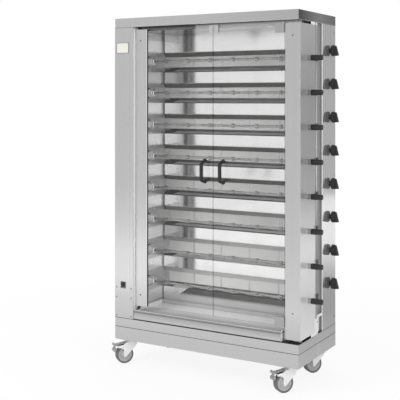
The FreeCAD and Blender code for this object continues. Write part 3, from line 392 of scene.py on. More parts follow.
# Painted shade on the lower flank under every burner, with a painted shadow line across it and a dark wedge at
# its left end.
under = flank * (1.0 - above) * (z > row_height[8] - 20 * MM)
shadow_line = finish.drop(abs(from_row + 31.5 * MM), 4.0 * MM, 7.0 * MM)
wedge = finish.drop(x - (from_row + FLAT_TOP) * 2.4, -0.352, -0.344) * flank * (1.0 - above)
gap_2, gap_7 = ((z > row_height[row] + GAP_START) * (z < row_height[row - 1] - GAP_START) for row in (2, 7))
dull = (gap_2 + gap_7) * finish.drop(x, -0.262, -0.256)
heat_and_reflection = finish.limit(z, 0.48, 0.95)
seam = finish.drop(x, 5.0, 7.0, corner.x) * finish.limit(z, 0.45, 0.80)
# Painted dark reflection, with streaks: on the flank above every burner, along each flat's lip and in a band at
# the bottom.
dark = finish.blend(dark_streaks, 0.045, grey(0.17, (0.01, 0.004, 0.0)))
plain = finish.blend(film_and_shade, tone, grey(tone - 0.08, WARM))
colour = finish.layers(plain, (dull * 0.8, 0.40), (flank * above * heat_and_reflection * 0.96, dark), (under * 0.35, 0.30),
                       ((under * shadow_line).most(wedge) * 0.94, 0.03),
                       ((lip * finish.limit(z, 0.45, 0.75) * 0.92).most(bottom * 0.97), dark),
                       (splash, 0.62), (seam, 0.02))
rough = gloss + film_and_shade * 0.04 + flank * 0.25 + bottom * 0.25 + splash * 0.3 + finish.limit(x, -0.22, -0.12) * 0.14
paint(("reflector_panels",), finish.dress(colour, rough, 1.0 - splash * 0.6, (slow, 0.06, 0.004)))
print("reflector finish:", finish.material.name)

# %% [markdown]
# ## Drip tray
# The tray is plain satin sheet that is washed every day. It shows no sharp reflections, only a soft sheen with
# rubbed streaks along its length. The floor right behind the lip carries painted shade, and so does the upper
# part of the lip's front.

# %% Satin tray
finish, tone, gloss = Finish("tray_steel"), 0.97, 0.30
y, z = finish.split()[1:]
low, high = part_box("drip_tray")
rub = finish.noise(1.0, 3.0, (3.0, 120.0, 120.0), 0.6)
stain = finish.limit(finish.noise(7.0, 5.0, (0.6, 1.0, 1.0), 0.6), 0.48, 0.75)
back = finish.limit(y, -8.0, -4.0, high.y)
crest = finish.drop(abs(y - (low.y + 20 * MM)), 3 * MM, 16 * MM)
lip = finish.drop(y, 1.6, 2.2, low.y)
inside = (z > low.z + 38 * MM) * (z < low.z + 45 * MM)
# Painted shade on the floor right behind the lip and on the upper part of the lip's front.
shade_behind_lip = inside * finish.drop(y, 28.0, 165.0, low.y)
front_shade = lip * finish.limit(z, 12.0, 47.0, low.z)
colour = finish.blend(rub * 0.5 + stain * 0.5, tone, grey(tone - 0.10, WARM))
colour = finish.layers(colour, (back * 0.55, 0.20), (lip, 0.60), (shade_behind_lip * 0.72, 0.14),
                       (front_shade * 0.55, 0.22))
rough = gloss + rub * 0.08 + stain * 0.06 + crest * 0.02
paint(("drip_tray",), finish.dress(colour, rough, lip * 0.8, (rub, 0.05, 0.0006)))
print("tray finish:", finish.material.name)

# %% [markdown]
# ## Burners
# Each burner is a dull steel box with five pierced ceramic plates in front. The holes are a millimetre wide.
# They could be drilled as geometry, thousands of them, but a grid of dark dots in the material, painted as the
# shade inside the holes and sunk by a bump, looks the same and stays light.

# %% Burner boxes and pierced plates
finish = Finish("burner_steel")
heat_and_reflection = finish.noise(7.0, 4.0, (1.0, 1.0, 2.0), 0.6)
grain = finish.noise(1.0, 2.0, (20.0, 300.0, 500.0))
colour = finish.blend(heat_and_reflection, 0.52, grey(0.70, (0.02, 0.01, 0.0)))
rough = 0.30 + heat_and_reflection * 0.12 + grain * 0.06
steel_burner = finish.dress(colour, rough, 1.0, (grain, 0.08, 0.0006))

HOLES = 300.0  # in a metre of plate
finish = Finish("burner_ceramic")
x, _, z = finish.split()
across = abs((x * HOLES).part() - 0.5)
up = abs((z * HOLES).part() - 0.5)
# Painted shade: each hole is a dark dot.
hole = finish.drop(across * across + up * up, 0.030, 0.070)
stain = finish.noise(11.0, 4.0, (1.0, 1.0, 1.6), 0.6)
clay = finish.blend(stain, grey(0.50, (0.0, -0.004, -0.010)), grey(0.60, (0.0, -0.005, -0.012)))
fresh = finish.drop(z, row_height[8], row_height[6]) * 0.8
clay = finish.blend(fresh, clay, grey(0.84, (0.0, -0.006, -0.014)))
colour = finish.blend(hole * 0.6, clay, 0.26)
ceramic = finish.dress(colour, 0.62 + stain * 0.2, dents=(1.0 - hole, 0.4, 0.0008))
paint(("burner_boxes",), steel_burner)
paint(("burner_tiles",), ceramic)
print("burner finishes:", steel_burner.name, ceramic.name)

# %% [markdown]
# ## Plain metals
# Spits darken in the heat, zinc has a cloudy bloom, brass dulls, and the chain and shafts are oiled. One
# function with a few numbers gives every metal its own colour and gloss. The door's small parts are coated
# white at the right end of the cabinet, so the function can also start a coat at some x.

# %% Spit steel, zinc, brass and oiled steel
def plain_metal(name, dark, light, scale, gloss, spread, stretch=EVEN, metal=1.0, white_from=None):
    """white_from is an x from which a piece is coated white."""
    finish = Finish(name)
    cloud = finish.noise(scale, 4.0, stretch, 0.6)
    fine = finish.noise(scale * 14.0, 2.0, stretch)
    colour = finish.blend(cloud * 0.75 + fine * 0.25, dark, light)
    rough = gloss + (cloud - 0.5) * spread + (fine - 0.5) * spread * 0.5
    if white_from:
        coat = finish.limit(finish.split()[0], 0.0, 0.2, white_from)
        colour = finish.blend(coat, colour, 0.90)
        metal = metal - coat * 0.65
    return finish.dress(colour, rough, metal, (fine, 0.05, 0.0005))


steel_spit = plain_metal("spit_steel", grey(0.30, (0.01, 0.005, 0.0)), grey(0.56, (0.015, 0.01, 0.0)), 30.0,
                         0.28, 0.16, (0.5, 1.0, 1.0))
zinc_soft = plain_metal("soft_zinc", grey(0.60, (-0.01, 0.0, 0.01)), 0.76, 36.0, 0.32, 0.12)
bright_steel = plain_metal("bright_steel", 0.86, 0.94, 24.0, 0.10, 0.06)
brass = plain_metal("gas_brass", (0.46, 0.33, 0.13, 1.0), (0.66, 0.50, 0.22, 1.0), 36.0, 0.32, 0.16)
steel_oiled = plain_metal("oiled_steel", 0.20, 0.38, 48.0, 0.34, 0.18)
steel_dark = plain_metal("dark_steel", 0.10, 0.22, 60.0, 0.36, 0.16)
steel_chuck = plain_metal("chuck_steel", 0.80, 0.94, 55.0, 0.30, 0.14)
steel_fitting = plain_metal("fitting_steel", 0.42, 0.54, 40.0, 0.34, 0.12)
white_zinc = plain_metal("white_zinc", 0.86, 0.96, 30.0, 0.34, 0.10, metal=0.35)
steel_pedal = plain_metal("pedal_steel", 0.24, 0.52, 45.0, 0.36, 0.16, metal=0.6)
steel_hardware = plain_metal("hardware_zinc", 0.60, 0.76, 36.0, 0.32, 0.12, white_from=right_x - 0.5 * MM)
paint(("door_hardware",), steel_hardware)
paint(("right_fittings",), steel_fitting)
paint(("screws", "drive_chain", "bearing_flanges"), steel_oiled)
paint(("gas_train",), brass)
corners = ("front_left", "front_right", "rear_left", "rear_right")
paint(["spit_%d" % row for row in rows], steel_spit)
paint(["drive_socket_%d" % row for row in rows], steel_chuck)
paint(["caster_fork_" + corner for corner in corners], white_zinc)
paint(["brake_pedal_" + corner for corner in corners[:2]], steel_pedal)
print("plain metals done")

# %% [markdown]
# ## Plastic, paint and rubber
# The grips, knobs and pulls are moulded in black with a fine spark-eroded grain. The casters have a grey
# tread on a paler hub, and the pane's sealant is grey with a dark edge. A flat black would look like a hole
# in the picture, so the grain breaks the gloss.

# %% Moulded and painted finishes
def moulded(name, dark, light, gloss, grain, dent=0.12):
    finish = Finish(name)
    speck = finish.noise(grain, 3.0, EVEN, 0.6)
    rub = finish.noise(38.0, 3.0)
    colour = finish.blend(speck * 0.4 + rub * 0.6, dark, light)
    rough = gloss + (speck - 0.5) * 0.10 + (rub - 0.5) * 0.12
    return finish.dress(colour, rough, dents=(speck, dent, 0.0004))


black_plastic = moulded("black_plastic", 0.008, grey(0.020, (0.0, 0.001, 0.0)), 0.36, 1500.0)
red_mark = moulded("red_mark", (0.34, 0.02, 0.015, 1.0), (0.46, 0.04, 0.025, 1.0), 0.45, 1200.0)
tread_grey = moulded("tread_grey", 0.12, 0.18, 0.55, 900.0, 0.2)
hub_grey = moulded("hub_grey", 0.40, grey(0.50, (0.0, 0.003, 0.006)), 0.42, 800.0)
motor_paint = moulded("motor_paint", (0.045, 0.05, 0.06, 1.0), (0.075, 0.08, 0.09, 1.0), 0.5, 400.0)
black_rubber = moulded("black_rubber", 0.010, 0.022, 0.6, 700.0, 0.2)

finish = Finish("grey_sealant")
x = finish.split()[0]
edge_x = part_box("left_stile")[1].x - 43 * MM
grain = finish.noise(500.0, 2.0)
colour = finish.blend(grain, 0.62, 0.74)
colour = finish.blend(finish.drop(x, -0.3, 0.3, edge_x), colour, 0.04)
grey_sealant = finish.dress(colour, 0.5 + grain * 0.2, dents=(grain, 0.2, 0.0005))
cream_enamel = moulded("cream_enamel", (0.62, 0.61, 0.54, 1.0), (0.70, 0.69, 0.62, 1.0), 0.30, 300.0, 0.04)
paint(("left_pull", "right_pull", "rocker"), black_plastic)
paint(("gear_motor",), motor_paint)
paint(["gas_knob_%d" % row for row in rows], black_plastic)
paint(["caster_wheel_" + corner for corner in corners], tread_grey)
print("moulded finishes done")

# %% [markdown]
# ## Door glass
# A pane of toughened glass lets nearly all light through and mirrors a few parts in a hundred of it. It could
# be true refracting glass, but a thin pane shifts nothing, and a faint mirror film over a clear sheet keeps
# the chamber bright. The cut edges are greener and darker than the face.

# %% Clear panes with green edges
finish = Finish("door_glass")
facing = finish.split(finish.add("ShaderNodeTexCoord", output="Normal"))[1]
edge = finish.drop(abs(facing), 0.3, 0.9)
wipe = finish.noise(4.0, 4.0, (1.0, 1.0, 0.5), 0.6)
colour = finish.blend(edge, grey(0.92, (-0.01, 0.0, 0.0)), (0.20, 0.26, 0.24, 1.0))
alpha = 0.022 + wipe * 0.02 + edge * 0.5
paint(("left_glass", "right_glass"), finish.dress(colour, 0.02 + wipe * 0.03, 1.0, alpha=alpha))
print("glass:", finish.material.name)

# %% [markdown]
# ## Tools for modelling
# Every new piece starts as a primitive that is then shaped in edit mode. Blender's operators act on what is
# selected, so a few helpers clear the selection, add and open a piece, and select its faces or edges by where
# they are.

# %% Helpers that open and select
NEAR = 0.1 * MM
ALONG_X, ALONG_Y = (0.0, math.pi / 2, 0.0), (math.pi / 2, 0.0, 0.0)


def clear_selection():
    bpy.ops.object.select_all(action="DESELECT")


def open_piece(name):
    """Names the primitive that was just added, fixes its place in its mesh and opens it."""
    piece = bpy.context.object
    piece.name = piece.data.name = name
    bpy.ops.object.transform_apply(location=True, rotation=True, scale=True)
    bpy.ops.object.mode_set(mode="EDIT")
    bpy.ops.mesh.select_all(action="DESELECT")
    return piece


def add_box(name, place, size):
    clear_selection()
    bpy.ops.mesh.primitive_cube_add(size=1.0, location=place, scale=size)
    return open_piece(name)


def add_disc(name, place, radius, depth, vertices, turn=(0.0, 0.0, 0.0)):
    clear_selection()
    bpy.ops.mesh.primitive_cylinder_add(vertices=vertices, radius=radius, depth=depth, location=place,
                                        rotation=turn)
    return open_piece(name)


def pick(piece, kind, test):
    """Selects the faces whose middle and normal, or the edges whose two ends, pass a test."""
    bpy.ops.mesh.select_mode(type=kind)
    bpy.ops.mesh.select_all(action="DESELECT")
    mesh = bmesh.from_edit_mesh(piece.data)
    if kind == "FACE":
        parts = [(face, face.calc_center_median(), face.normal) for face in mesh.faces]
    else:
        parts = [(edge, edge.verts[0].co, edge.verts[1].co) for edge in mesh.edges]
    for part, first, second in parts:
        if test(first, second):
            part.select_set(True)
    bmesh.update_edit_mesh(piece.data)


def pull_out(x, y, z):
    bpy.ops.mesh.extrude_region_move(TRANSFORM_OT_translate={"value": (x, y, z)})


def scale(x, y, z, about):
    bpy.ops.transform.resize(value=(x, y, z), center_override=about)


def inset(thickness, depth=0.0):
    bpy.ops.mesh.inset(thickness=thickness, depth=depth)


clear_selection()
print("selecting tools ready")

# %% Helpers that close, copy and join
def close_piece(piece, edge_width=0.0, segments=3, angle=35.0):
    """Leaves edit mode, rounds the sharp edges and shades the piece."""
    bpy.ops.mesh.select_all(action="SELECT")
    bpy.ops.mesh.normals_make_consistent(inside=False)
    bpy.ops.object.mode_set(mode="OBJECT")
    if edge_width:
        bevel = piece.modifiers.new("rounded edges", "BEVEL")
        bevel.width = edge_width
        bevel.segments = segments
        bevel.limit_method = "ANGLE"
        bevel.angle_limit = math.radians(angle)
        bpy.ops.object.modifier_apply(modifier=bevel.name)
    bpy.ops.object.shade_smooth_by_angle(angle=math.radians(angle))
    return piece


def copy_piece(piece, name, shift):
    """A copy with its own mesh, moved by shift."""
    twin = piece.copy()
    twin.data = piece.data.copy()
    twin.name = twin.data.name = name
    twin.data.transform(Matrix.Translation(shift))
    scene.collection.objects.link(twin)
    return twin


def join_pieces(pieces, name):
    clear_selection()
    for piece in pieces:
        piece.select_set(True)
    bpy.context.view_layer.objects.active = pieces[0]
    bpy.ops.object.join()
    pieces[0].name = pieces[0].data.name = name
    return pieces[0]


def hand_over(piece, body, material=None):
    """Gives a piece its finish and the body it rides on."""
    if material:
        piece.data.materials.append(material)
    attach(piece, body)


def middle(node):
    low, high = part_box(node)
    return (low + high) / 2


def on_every_row(first, stem, centre, body, material=None):
    """Copies the first row's piece to the other rows and hands over all eight; %d stands for the row."""
    pieces = [first] + [copy_piece(first, stem % row, centre[row] - centre[1]) for row in rows[1:]]
    for row, piece in zip(rows, pieces):
        hand_over(piece, body.replace("%d", str(row)), material)
    return pieces


print("finishing tools ready")

# %% [markdown]
# ## Spit grips
# Each spit ends in a black moulded grip outside the cabinet. A plain cylinder would do from far away, but the
# real one has a rounded end, a slight waist and a flange, so it is drawn out ring by ring from one disc.

# %% One grip, then eight
row_centre = {row: middle("drive_socket_%d" % row) for row in rows}
GRIP_LENGTH = 57.5 * MM
grip_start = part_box("spit_1")[1].x - GRIP_LENGTH


def draw_rings(piece, centre, end, rings):
    """Pulls the end face out along X ring by ring; a ring is a step and its radius, both in mm."""
    for step, radius in rings:
        pick(piece, "FACE", lambda c, n: n.x > 0.9 and abs(c.x - end) < NEAR)
        pull_out(step * MM, 0.0, 0.0)
        end += step * MM
        now = max(math.hypot(v.co.y - centre.y, v.co.z - centre.z)
                  for v in bmesh.from_edit_mesh(piece.data).verts if abs(v.co.x - end) < NEAR)
        ratio = radius * MM / now
        scale(1.0, ratio, ratio, (end, centre.y, centre.z))
    return end


centre = row_centre[1]
piece = add_disc("spit_grip_1", (grip_start + 1.6 * MM, centre.y, centre.z), 14.9 * MM, 4 * MM, 48, ALONG_X)
end = draw_rings(piece, centre, grip_start + 3.6 * MM, ((12.0, 14.9), (14.9, 14.9), (0.6, 13.4), (12.0, 13.3),
                                                        (12.0, 13.4), (2.9, 13.5)))
pick(piece, "EDGE", lambda a, b: abs(a.x - end) < NEAR and abs(b.x - end) < NEAR)
bpy.ops.mesh.bevel(offset=3.3 * MM, segments=5, affect="EDGES")
pick(piece, "FACE", lambda c, n: n.x > 0.98 and math.hypot(c.y - centre.y, c.z - centre.z) < 2 * MM
     and abs(c.x - end) < NEAR)
inset(3.0 * MM, -0.4 * MM)
grip = close_piece(piece, 0.8 * MM, 2)
grips = on_every_row(grip, "spit_grip_%d", row_centre, "spit_%d", black_plastic)
print("grips:", len(grips), "reach to x", max(v.co.x for v in grip.data.vertices))

# %% [markdown]
# ## Gas knobs
# A knob has a neck on the valve stem, a round skirt and a wedge to hold, which stands out more at its lower
# end. The face towards the panel is red on its rear half, which shows only in the polished panel behind it.
# It could be carved from one block, but a turned skirt joined to a shaped wedge is how the mould is made too.

# %% Turned skirt of the knob
panel_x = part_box("side_panel")[1].x
knob_centre = {row: middle("gas_knob_%d" % row) for row in rows}
knob_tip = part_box("gas_knob_1")[1].x
centre = knob_centre[1]
piece = add_disc("gas_knob_skirt", (panel_x + 5.4 * MM, centre.y, centre.z), 13 * MM, 9.2 * MM, 64, ALONG_X)
wedge_start = draw_rings(piece, centre, panel_x + 10.0 * MM, ((0.0, 28.2), (1.2, 29.5), (10.8, 29.2), (3.4, 27.6),
                                                              (1.6, 24.0)))
skirt = close_piece(piece, 0.8 * MM, 3)
print("skirt ends at x", wedge_start, "of", knob_tip)

# %% Wedge of the knob
tall, wide, tip = 55 * MM, 24 * MM, (knob_tip, centre.y, centre.z)
deep = knob_tip - wedge_start + 4 * MM
piece = add_box("gas_knob_wedge", (knob_tip - deep / 2, centre.y, centre.z - 0.5 * MM), (deep, wide, tall))
pick(piece, "FACE", lambda c, n: n.x > 0.9)
scale(1.0, 0.62, 0.94, tip)
pick(piece, "EDGE", lambda a, b: min(a.x, b.x) > knob_tip - 1 * MM and min(a.z, b.z) > centre.z)
bpy.ops.transform.translate(value=(-12 * MM, 0.0, -1.0 * MM))
pick(piece, "EDGE", lambda a, b: min(a.z, b.z) > centre.z + 15 * MM and abs(a.x - b.x) < 1 * MM)
scale(1.0, 0.78, 1.0, tip)
pick(piece, "EDGE", lambda a, b: max(a.z, b.z) < centre.z and abs(a.x - b.x) < 1 * MM)
scale(1.0, 1.22, 1.0, tip)
pick(piece, "EDGE", lambda a, b: abs(a.x - b.x) > 4 * MM)
bpy.ops.mesh.bevel(offset=3.5 * MM, segments=4, affect="EDGES")
wedge = close_piece(piece, 1.6 * MM, 3, 30.0)
knob = join_pieces([skirt, wedge], "knob_1")
knob.data.materials.append(black_plastic)
knob.data.materials.append(red_mark)
for face in knob.data.polygons:
    far_side = face.center.y - knob_centre[1].y
    face.material_index = 1 if face.normal.x < -0.9 and far_side > 7 * MM else 0
knobs = on_every_row(knob, "knob_%d", knob_centre, "gas_knob_%d")
for row, piece in zip(rows, knobs):
    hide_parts("gas_knob_%d" % row)
print("knobs:", len(knobs), "faces each:", len(knob.data.polygons))

# %% [markdown]
# ## Caster wheels
# A caster wheel has a rounded grey tread, a paler hub set back from it, and a boss round the axle. It could be
# spun from a half section, but insets from the flat sides of a cylinder keep both sides alike. The axle's
# direction comes from the frame's own joint, so the wheel always stands as the fork does.

# %% One wheel, then four
WHEEL_R = (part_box("caster_wheel_front_left")[1].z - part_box("caster_wheel_front_left")[0].z) / 2
WHEEL_HALF = 16 * MM
TREAD = 9.8 * MM
joint_of = {joint["child"]: joint for joint in frame["joints"] if joint["child"].startswith("caster_")}
piece = add_disc("wheel_pattern", (0.0, 0.0, 0.0), WHEEL_R, 2 * WHEEL_HALF, 72)
for side in (-1.0, 1.0):
    height = WHEEL_HALF
    for ring, drop in ((9.5, 0.0), (1.2, 2.4), (3.0, 0.0), (1.0, -1.2), (3.5, 0.0), (2.5, 4.0), (8.0, 0.0),
                       (1.0, -4.6)):
        pick(piece, "FACE", lambda c, n: n.z * side > 0.9 and abs(c.z * side - height) < NEAR
             and math.hypot(c.x, c.y) < 0.5 * MM)
        inset(ring * MM)
        bpy.ops.transform.translate(value=(0.0, 0.0, -side * drop * MM))
        height -= drop * MM
wheel = close_piece(piece, 0.8 * MM, 3)
wheel.data.materials.append(tread_grey)
wheel.data.materials.append(hub_grey)
for face in wheel.data.polygons:
    face.material_index = 0 if math.hypot(face.center.x, face.center.y) > WHEEL_R - TREAD else 1
for corner in corners:
    node = "caster_wheel_" + corner
    piece = copy_piece(wheel, "wheel_" + corner + "_dressed", (0.0, 0.0, 0.0))
    turn = Vector((0.0, 0.0, 1.0)).rotation_difference(Vector(joint_of[node]["axis"])).to_matrix().to_4x4()
    piece.data.transform(Matrix.Translation(middle(node)) @ turn)
    hand_over(piece, node)
    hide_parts(node)
bpy.data.objects.remove(wheel)
print("wheels:", corners, "radius", round(WHEEL_R, 4))

# %% [markdown]
# ## Swivel races
# Between the plate and the fork of a caster runs a ball race. From outside it is a dark gap with a dust ring.
# The frame has a plain disc there, so a short cylinder with drawn-out ends and rounded edges is put round it.

# %% A dark ring on each race
RACE_R, RACE_LOW, RACE_HIGH = 26.6 * MM, 0.4 * MM, 5.6 * MM
plate_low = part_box("trolley_frame")[0].z
low, high = plate_low + RACE_LOW, plate_low + RACE_HIGH
for corner in corners:
    pivot = Vector(joint_of["caster_fork_" + corner]["pos_m"])
    piece = add_disc("race_" + corner, (pivot.x, pivot.y, (low + high) / 2), RACE_R, high - low, 56)
    for side in (-1.0, 1.0):
        pick(piece, "FACE", lambda c, n: n.z * side > 0.9)
        inset(0.8 * MM, 0.3 * MM)
    hand_over(close_piece(piece, 0.5 * MM, 2), "cabinet", black_rubber)
print("races at z", round(plate_low, 4))

# %% [markdown]
# ## Door seal and bead
# The left pane is glued into its stile: a thin black line beside the stile on the outside stands in for the
# shadow gap between stile and pane, and a wider band of grey sealant lies on the inside. A bright bead covers
# the sheet's cut edge. They are long strips with rounded edges, so each is a box that gets a crown by insetting
# its front.

# %% Strips along the stile
def make_strip(name, low, high, side, crown):
    """A long box whose face on one side of Y is drawn in to a crown."""
    size = [b - a for a, b in zip(low, high)]
    piece = add_box(name, [(a + b) / 2 for a, b in zip(low, high)], size)
    pick(piece, "FACE", lambda c, n: n.y * side > 0.9)
    inset(min(size[0], size[2]) * 0.28, crown)
    return close_piece(piece, min(size) * 0.2, 2)


stile_low, stile_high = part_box("left_stile")
pane_low, pane_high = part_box("left_glass")
# The first strip is black and stands in for the shadow gap between stile and pane.
for name, across, y, deep, short, side, crown, slot, material in (
        ("shadow_gap_line", (0.3, 5.6), pane_low.y, (-1.9, -0.1), 2, -1.0, 0.4, "black_plastic", black_rubber),
        ("seal_band", (-53, -19), pane_high.y, (0.1, 2.4), 2, 1.0, 0.4, "black_plastic", grey_sealant),
        ("stile_bead", (-4.4, 0.2), stile_low.y, (-1.2, 0.6), 1, -1.0, 0.5, "polished_steel", bright_steel)):
    low = (stile_high.x + across[0] * MM, y + deep[0] * MM, stile_low.z + short * MM)
    high = (stile_high.x + across[1] * MM, y + deep[1] * MM, stile_high.z - short * MM)
    hand_over(make_strip(name, low, high, side, crown * MM), "left_door", material)
print("stile strips from z", round(stile_low.z, 4), "to", round(stile_high.z, 4))

# %% [markdown]
# ## Tray shadow strip
# Under the lip of the drip tray lies a thin black strip that stands in for the shadow in the gap between the
# tray and the base. From the front it is the dark line between the tray and the base.

# %% Strip under the tray's lip
tray_low, tray_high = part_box("drip_tray")
# A black strip that stands in for the shadow under the tray's lip.
tray_shadow_strip = make_strip("tray_shadow_strip", (tray_low.x + 1 * MM, tray_low.y - 1.4 * MM, tray_low.z + 0.2 * MM),
                        (tray_high.x - 1 * MM, tray_low.y + 0.5 * MM, tray_low.z + 4.2 * MM), -1.0, 0.3 * MM)
hand_over(tray_shadow_strip, "drip_tray", black_rubber)
print("tray strip:", [round(v, 4) for v in tray_shadow_strip.dimensions])

# %% [markdown]
# ## Burner clips
# The five plates of a burner are held by narrow steel strips over their joints and by a bolted block at each
# end. They repeat on every row, so one set is made for the top row and copied seven times.

# %% Strips over the joints
plates_low, plates_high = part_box("burner_tiles")
plate_width = (plates_high.x - plates_low.x) / 5
front_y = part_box("burner_boxes")[0].y


def faces_front(c, n):
    return n.y < -0.9


def make_clip(x, wide, tall, bolts=()):
    z = row_height[1]
    piece = add_box("clip", (x, front_y - 0.6 * MM, z), (wide * MM, 2.4 * MM, tall * MM))
    pick(piece, "FACE", faces_front)
    inset(wide * 0.22 * MM, 0.5 * MM)
    parts = [close_piece(piece, 0.4 * MM, 2)]
    for up in bolts:
        bolt = add_disc("clip_bolt", (x, front_y - 3.0 * MM, z + up * MM), 4.2 * MM, 3 * MM, 6, ALONG_Y)
        pick(bolt, "FACE", faces_front)
        inset(0.8 * MM, 0.5 * MM)
        parts.append(close_piece(bolt, 0.3 * MM, 2))
    return parts


clip_parts = []
for joint in range(1, 5):
    clip_parts += make_clip(plates_low.x + joint * plate_width, 6.0, 58.0)
for x in (plates_low.x - 3 * MM, plates_high.x + 3 * MM):
    clip_parts += make_clip(x, 22.0, 60.0, (-17.0, 17.0))
clips = on_every_row(join_pieces(clip_parts, "burner_clips_1"), "burner_clips_%d", row_centre, "cabinet",
                     zinc_soft)
print("clip sets:", len(clips), "plate width", round(plate_width, 4))

# %% [markdown]
# ## Shaft seals
# Where a drive shaft comes through the chamber wall, a flat black ring keeps the fat out. A torus pressed flat
# is the simplest way to that shape.

# %% Eight shaft seals
CHUCK_RIM, CHAMBER_SIDE = 23 * MM, -0.41  # left of that x lie the sprockets
centre = row_centre[1]
chuck_face = [v.co.x for v in nodes["drive_socket_1"].data.vertices
              if math.hypot(v.co.y - centre.y, v.co.z - centre.z) > CHUCK_RIM and v.co.x > CHAMBER_SIDE]
seal_x = min(chuck_face) - 1.15 * MM


def make_ring(name, x, major, minor, segments, stretch):
    """A torus round the first row's shaft, pressed flat or drawn out along it."""
    place = (x, row_centre[1].y, row_centre[1].z)
    clear_selection()
    bpy.ops.mesh.primitive_torus_add(location=place, rotation=ALONG_X, major_radius=major, minor_radius=minor,
                                     major_segments=segments[0], minor_segments=segments[1])
    piece = open_piece(name)
    bpy.ops.mesh.select_all(action="SELECT")
    scale(stretch, 1.0, 1.0, place)
    return close_piece(piece)


shaft_seal = make_ring("shaft_seal_1", seal_x, 23.5 * MM, 5.0 * MM, (56, 12), 0.16)
on_every_row(shaft_seal, "shaft_seal_%d", row_centre, "cabinet", black_rubber)
print("shaft seals at x", round(seal_x, 4))

# %% [markdown]
# ## Chuck noses
# In front of each chuck sits a bright ring that leads the square tip of the spit into it. It turns with the
# shaft. A torus drawn out along the shaft gives the rounded ring, with room for the tip inside.

# %% Eight noses on the chucks
nose_x = max(chuck_face) + 10.0 * MM
nose = make_ring("chuck_nose_1", nose_x, 15.4 * MM, 6.0 * MM, (48, 14), 1.7)
on_every_row(nose, "chuck_nose_%d", row_centre, "drive_%d", steel_chuck)
print("noses at x", round(nose_x, 4))

# %% [markdown]
# ## Guard bar
# Between the corner post and the knob panel stands a polished round bar that shields the spit grips' gap. It
# is a long cylinder with a dome drawn out at each end.

# %% A domed bar
GUARD_FOOT = 0.352


def draw_up(piece, x, y, end, side, rings):
    """Pulls the face at one end out along Z ring by ring; a ring is a step in mm and a ratio."""
    for step, ratio in rings:
        pick(piece, "FACE", lambda c, n: n.z * side > 0.9 and abs(c.z - end) < NEAR)
        pull_out(0.0, 0.0, side * step * MM)
        end += side * step * MM
        scale(ratio, ratio, 1.0, (x, y, end))


x, y, low, high = right_x - 1.2 * MM, -23.0 * MM, GUARD_FOOT, cap_low - 18 * MM
piece = add_disc("guard_bar", (x, y, (low + high) / 2), 6.8 * MM, high - low, 40)
for side, end in ((1.0, high), (-1.0, low)):
    draw_up(piece, x, y, end, side, ((1.6, 0.86), (1.4, 0.72), (0.8, 0.5)))
guard = close_piece(piece)
hand_over(guard, "cabinet", steel_fitting)
print("guard bar:", [round(v, 4) for v in guard.dimensions])

# %% [markdown]
# ## Dark tabs on the guard bar
# A small dark block sits on the guard bar at the height of every grip and stands in for the grip's dark
# reflection in the bar. It is a block with a drawn-in nose.

# %% Eight dark tabs
guard_x, guard_y = ([v.co[axis] for v in guard.data.vertices] for axis in (0, 1))
place = (max(guard_x) - 0.5 * MM, (min(guard_y) + max(guard_y)) / 2, row_height[1] + 1 * MM)
# A dark block that stands in for the grip's dark reflection in the guard bar.
piece = add_box("spit_latch_1", place, (8 * MM, 16 * MM, 30 * MM))
pick(piece, "FACE", lambda c, n: n.x > 0.9)
inset(2.0 * MM, 1.2 * MM)
reflection_tab = close_piece(piece, 0.6 * MM, 2)
reflection_tabs = on_every_row(reflection_tab, "spit_latch_%d", row_centre, "cabinet", steel_dark)
print("latches:", len(reflection_tabs))

# %% [markdown]
# ## Badge plate and switch bezel
# The column carries a small enamel plate, left bare here, and a rocker switch in a black bezel. The plate is a
# box whose front is inset and pushed back so that a rim stays. The bezel needs an open middle for the rocker,
# so its front and back are inset, both inner faces are removed and the two loops are bridged.

# %% Bare badge plate
badge_low = Vector((-0.5345, -0.2442, 1.6935))
badge_high = Vector((-0.4545, -0.2420, 1.7515))
badge_middle = (badge_low + badge_high) / 2
ENAMEL_X, ENAMEL_Z = 37 * MM, 26 * MM  # half the enamel's width and height inside the rim
piece = add_box("badge_plate", badge_middle, badge_high - badge_low)
pick(piece, "FACE", faces_front)
inset(2.6 * MM)
inset(0.6 * MM, -0.6 * MM)
badge = close_piece(piece, 0.5 * MM, 2)
badge.data.materials.append(cream_enamel)
badge.data.materials.append(steel_oiled)
for face in badge.data.polygons:
    off = face.center - badge_middle
    face.material_index = 0 if abs(off.x) < ENAMEL_X and abs(off.z) < ENAMEL_Z else 1
hand_over(badge, "cabinet")
print("badge plate:", [round(v, 4) for v in badge.dimensions])

# %% Open bezel round the rocker
centre, wide, tall, rim = middle("rocker"), 30 * MM, 35 * MM, 3.6 * MM
low_y, high_y = -0.2450, -0.2421
piece = add_box("switch_bezel", (centre.x, (low_y + high_y) / 2, centre.z), (wide, high_y - low_y, tall))
for side in (-1.0, 1.0):
    pick(piece, "FACE", lambda c, n: n.y * side > 0.9 and abs(c.x - centre.x) < NEAR)
    inset(rim)
pick(piece, "FACE", lambda c, n: abs(n.y) > 0.9 and abs(c.x - centre.x) < NEAR and abs(c.z - centre.z) < NEAR)
bpy.ops.mesh.delete(type="FACE")
pick(piece, "EDGE", lambda a, b: abs(a.y - b.y) < NEAR
     and max(abs(a.x - centre.x), abs(b.x - centre.x)) < wide / 2 - rim + NEAR
     and max(abs(a.z - centre.z), abs(b.z - centre.z)) < tall / 2 - rim + NEAR)
bpy.ops.mesh.bridge_edge_loops()
bezel = close_piece(piece, 0.7 * MM, 2)
hand_over(bezel, "cabinet", black_plastic)
print("bezel faces:", len(bezel.data.polygons))

# %% [markdown]
# ## Post buffer
# The corner post stands on a short black rubber buffer. A sleeve with a waist is pulled from a disc.

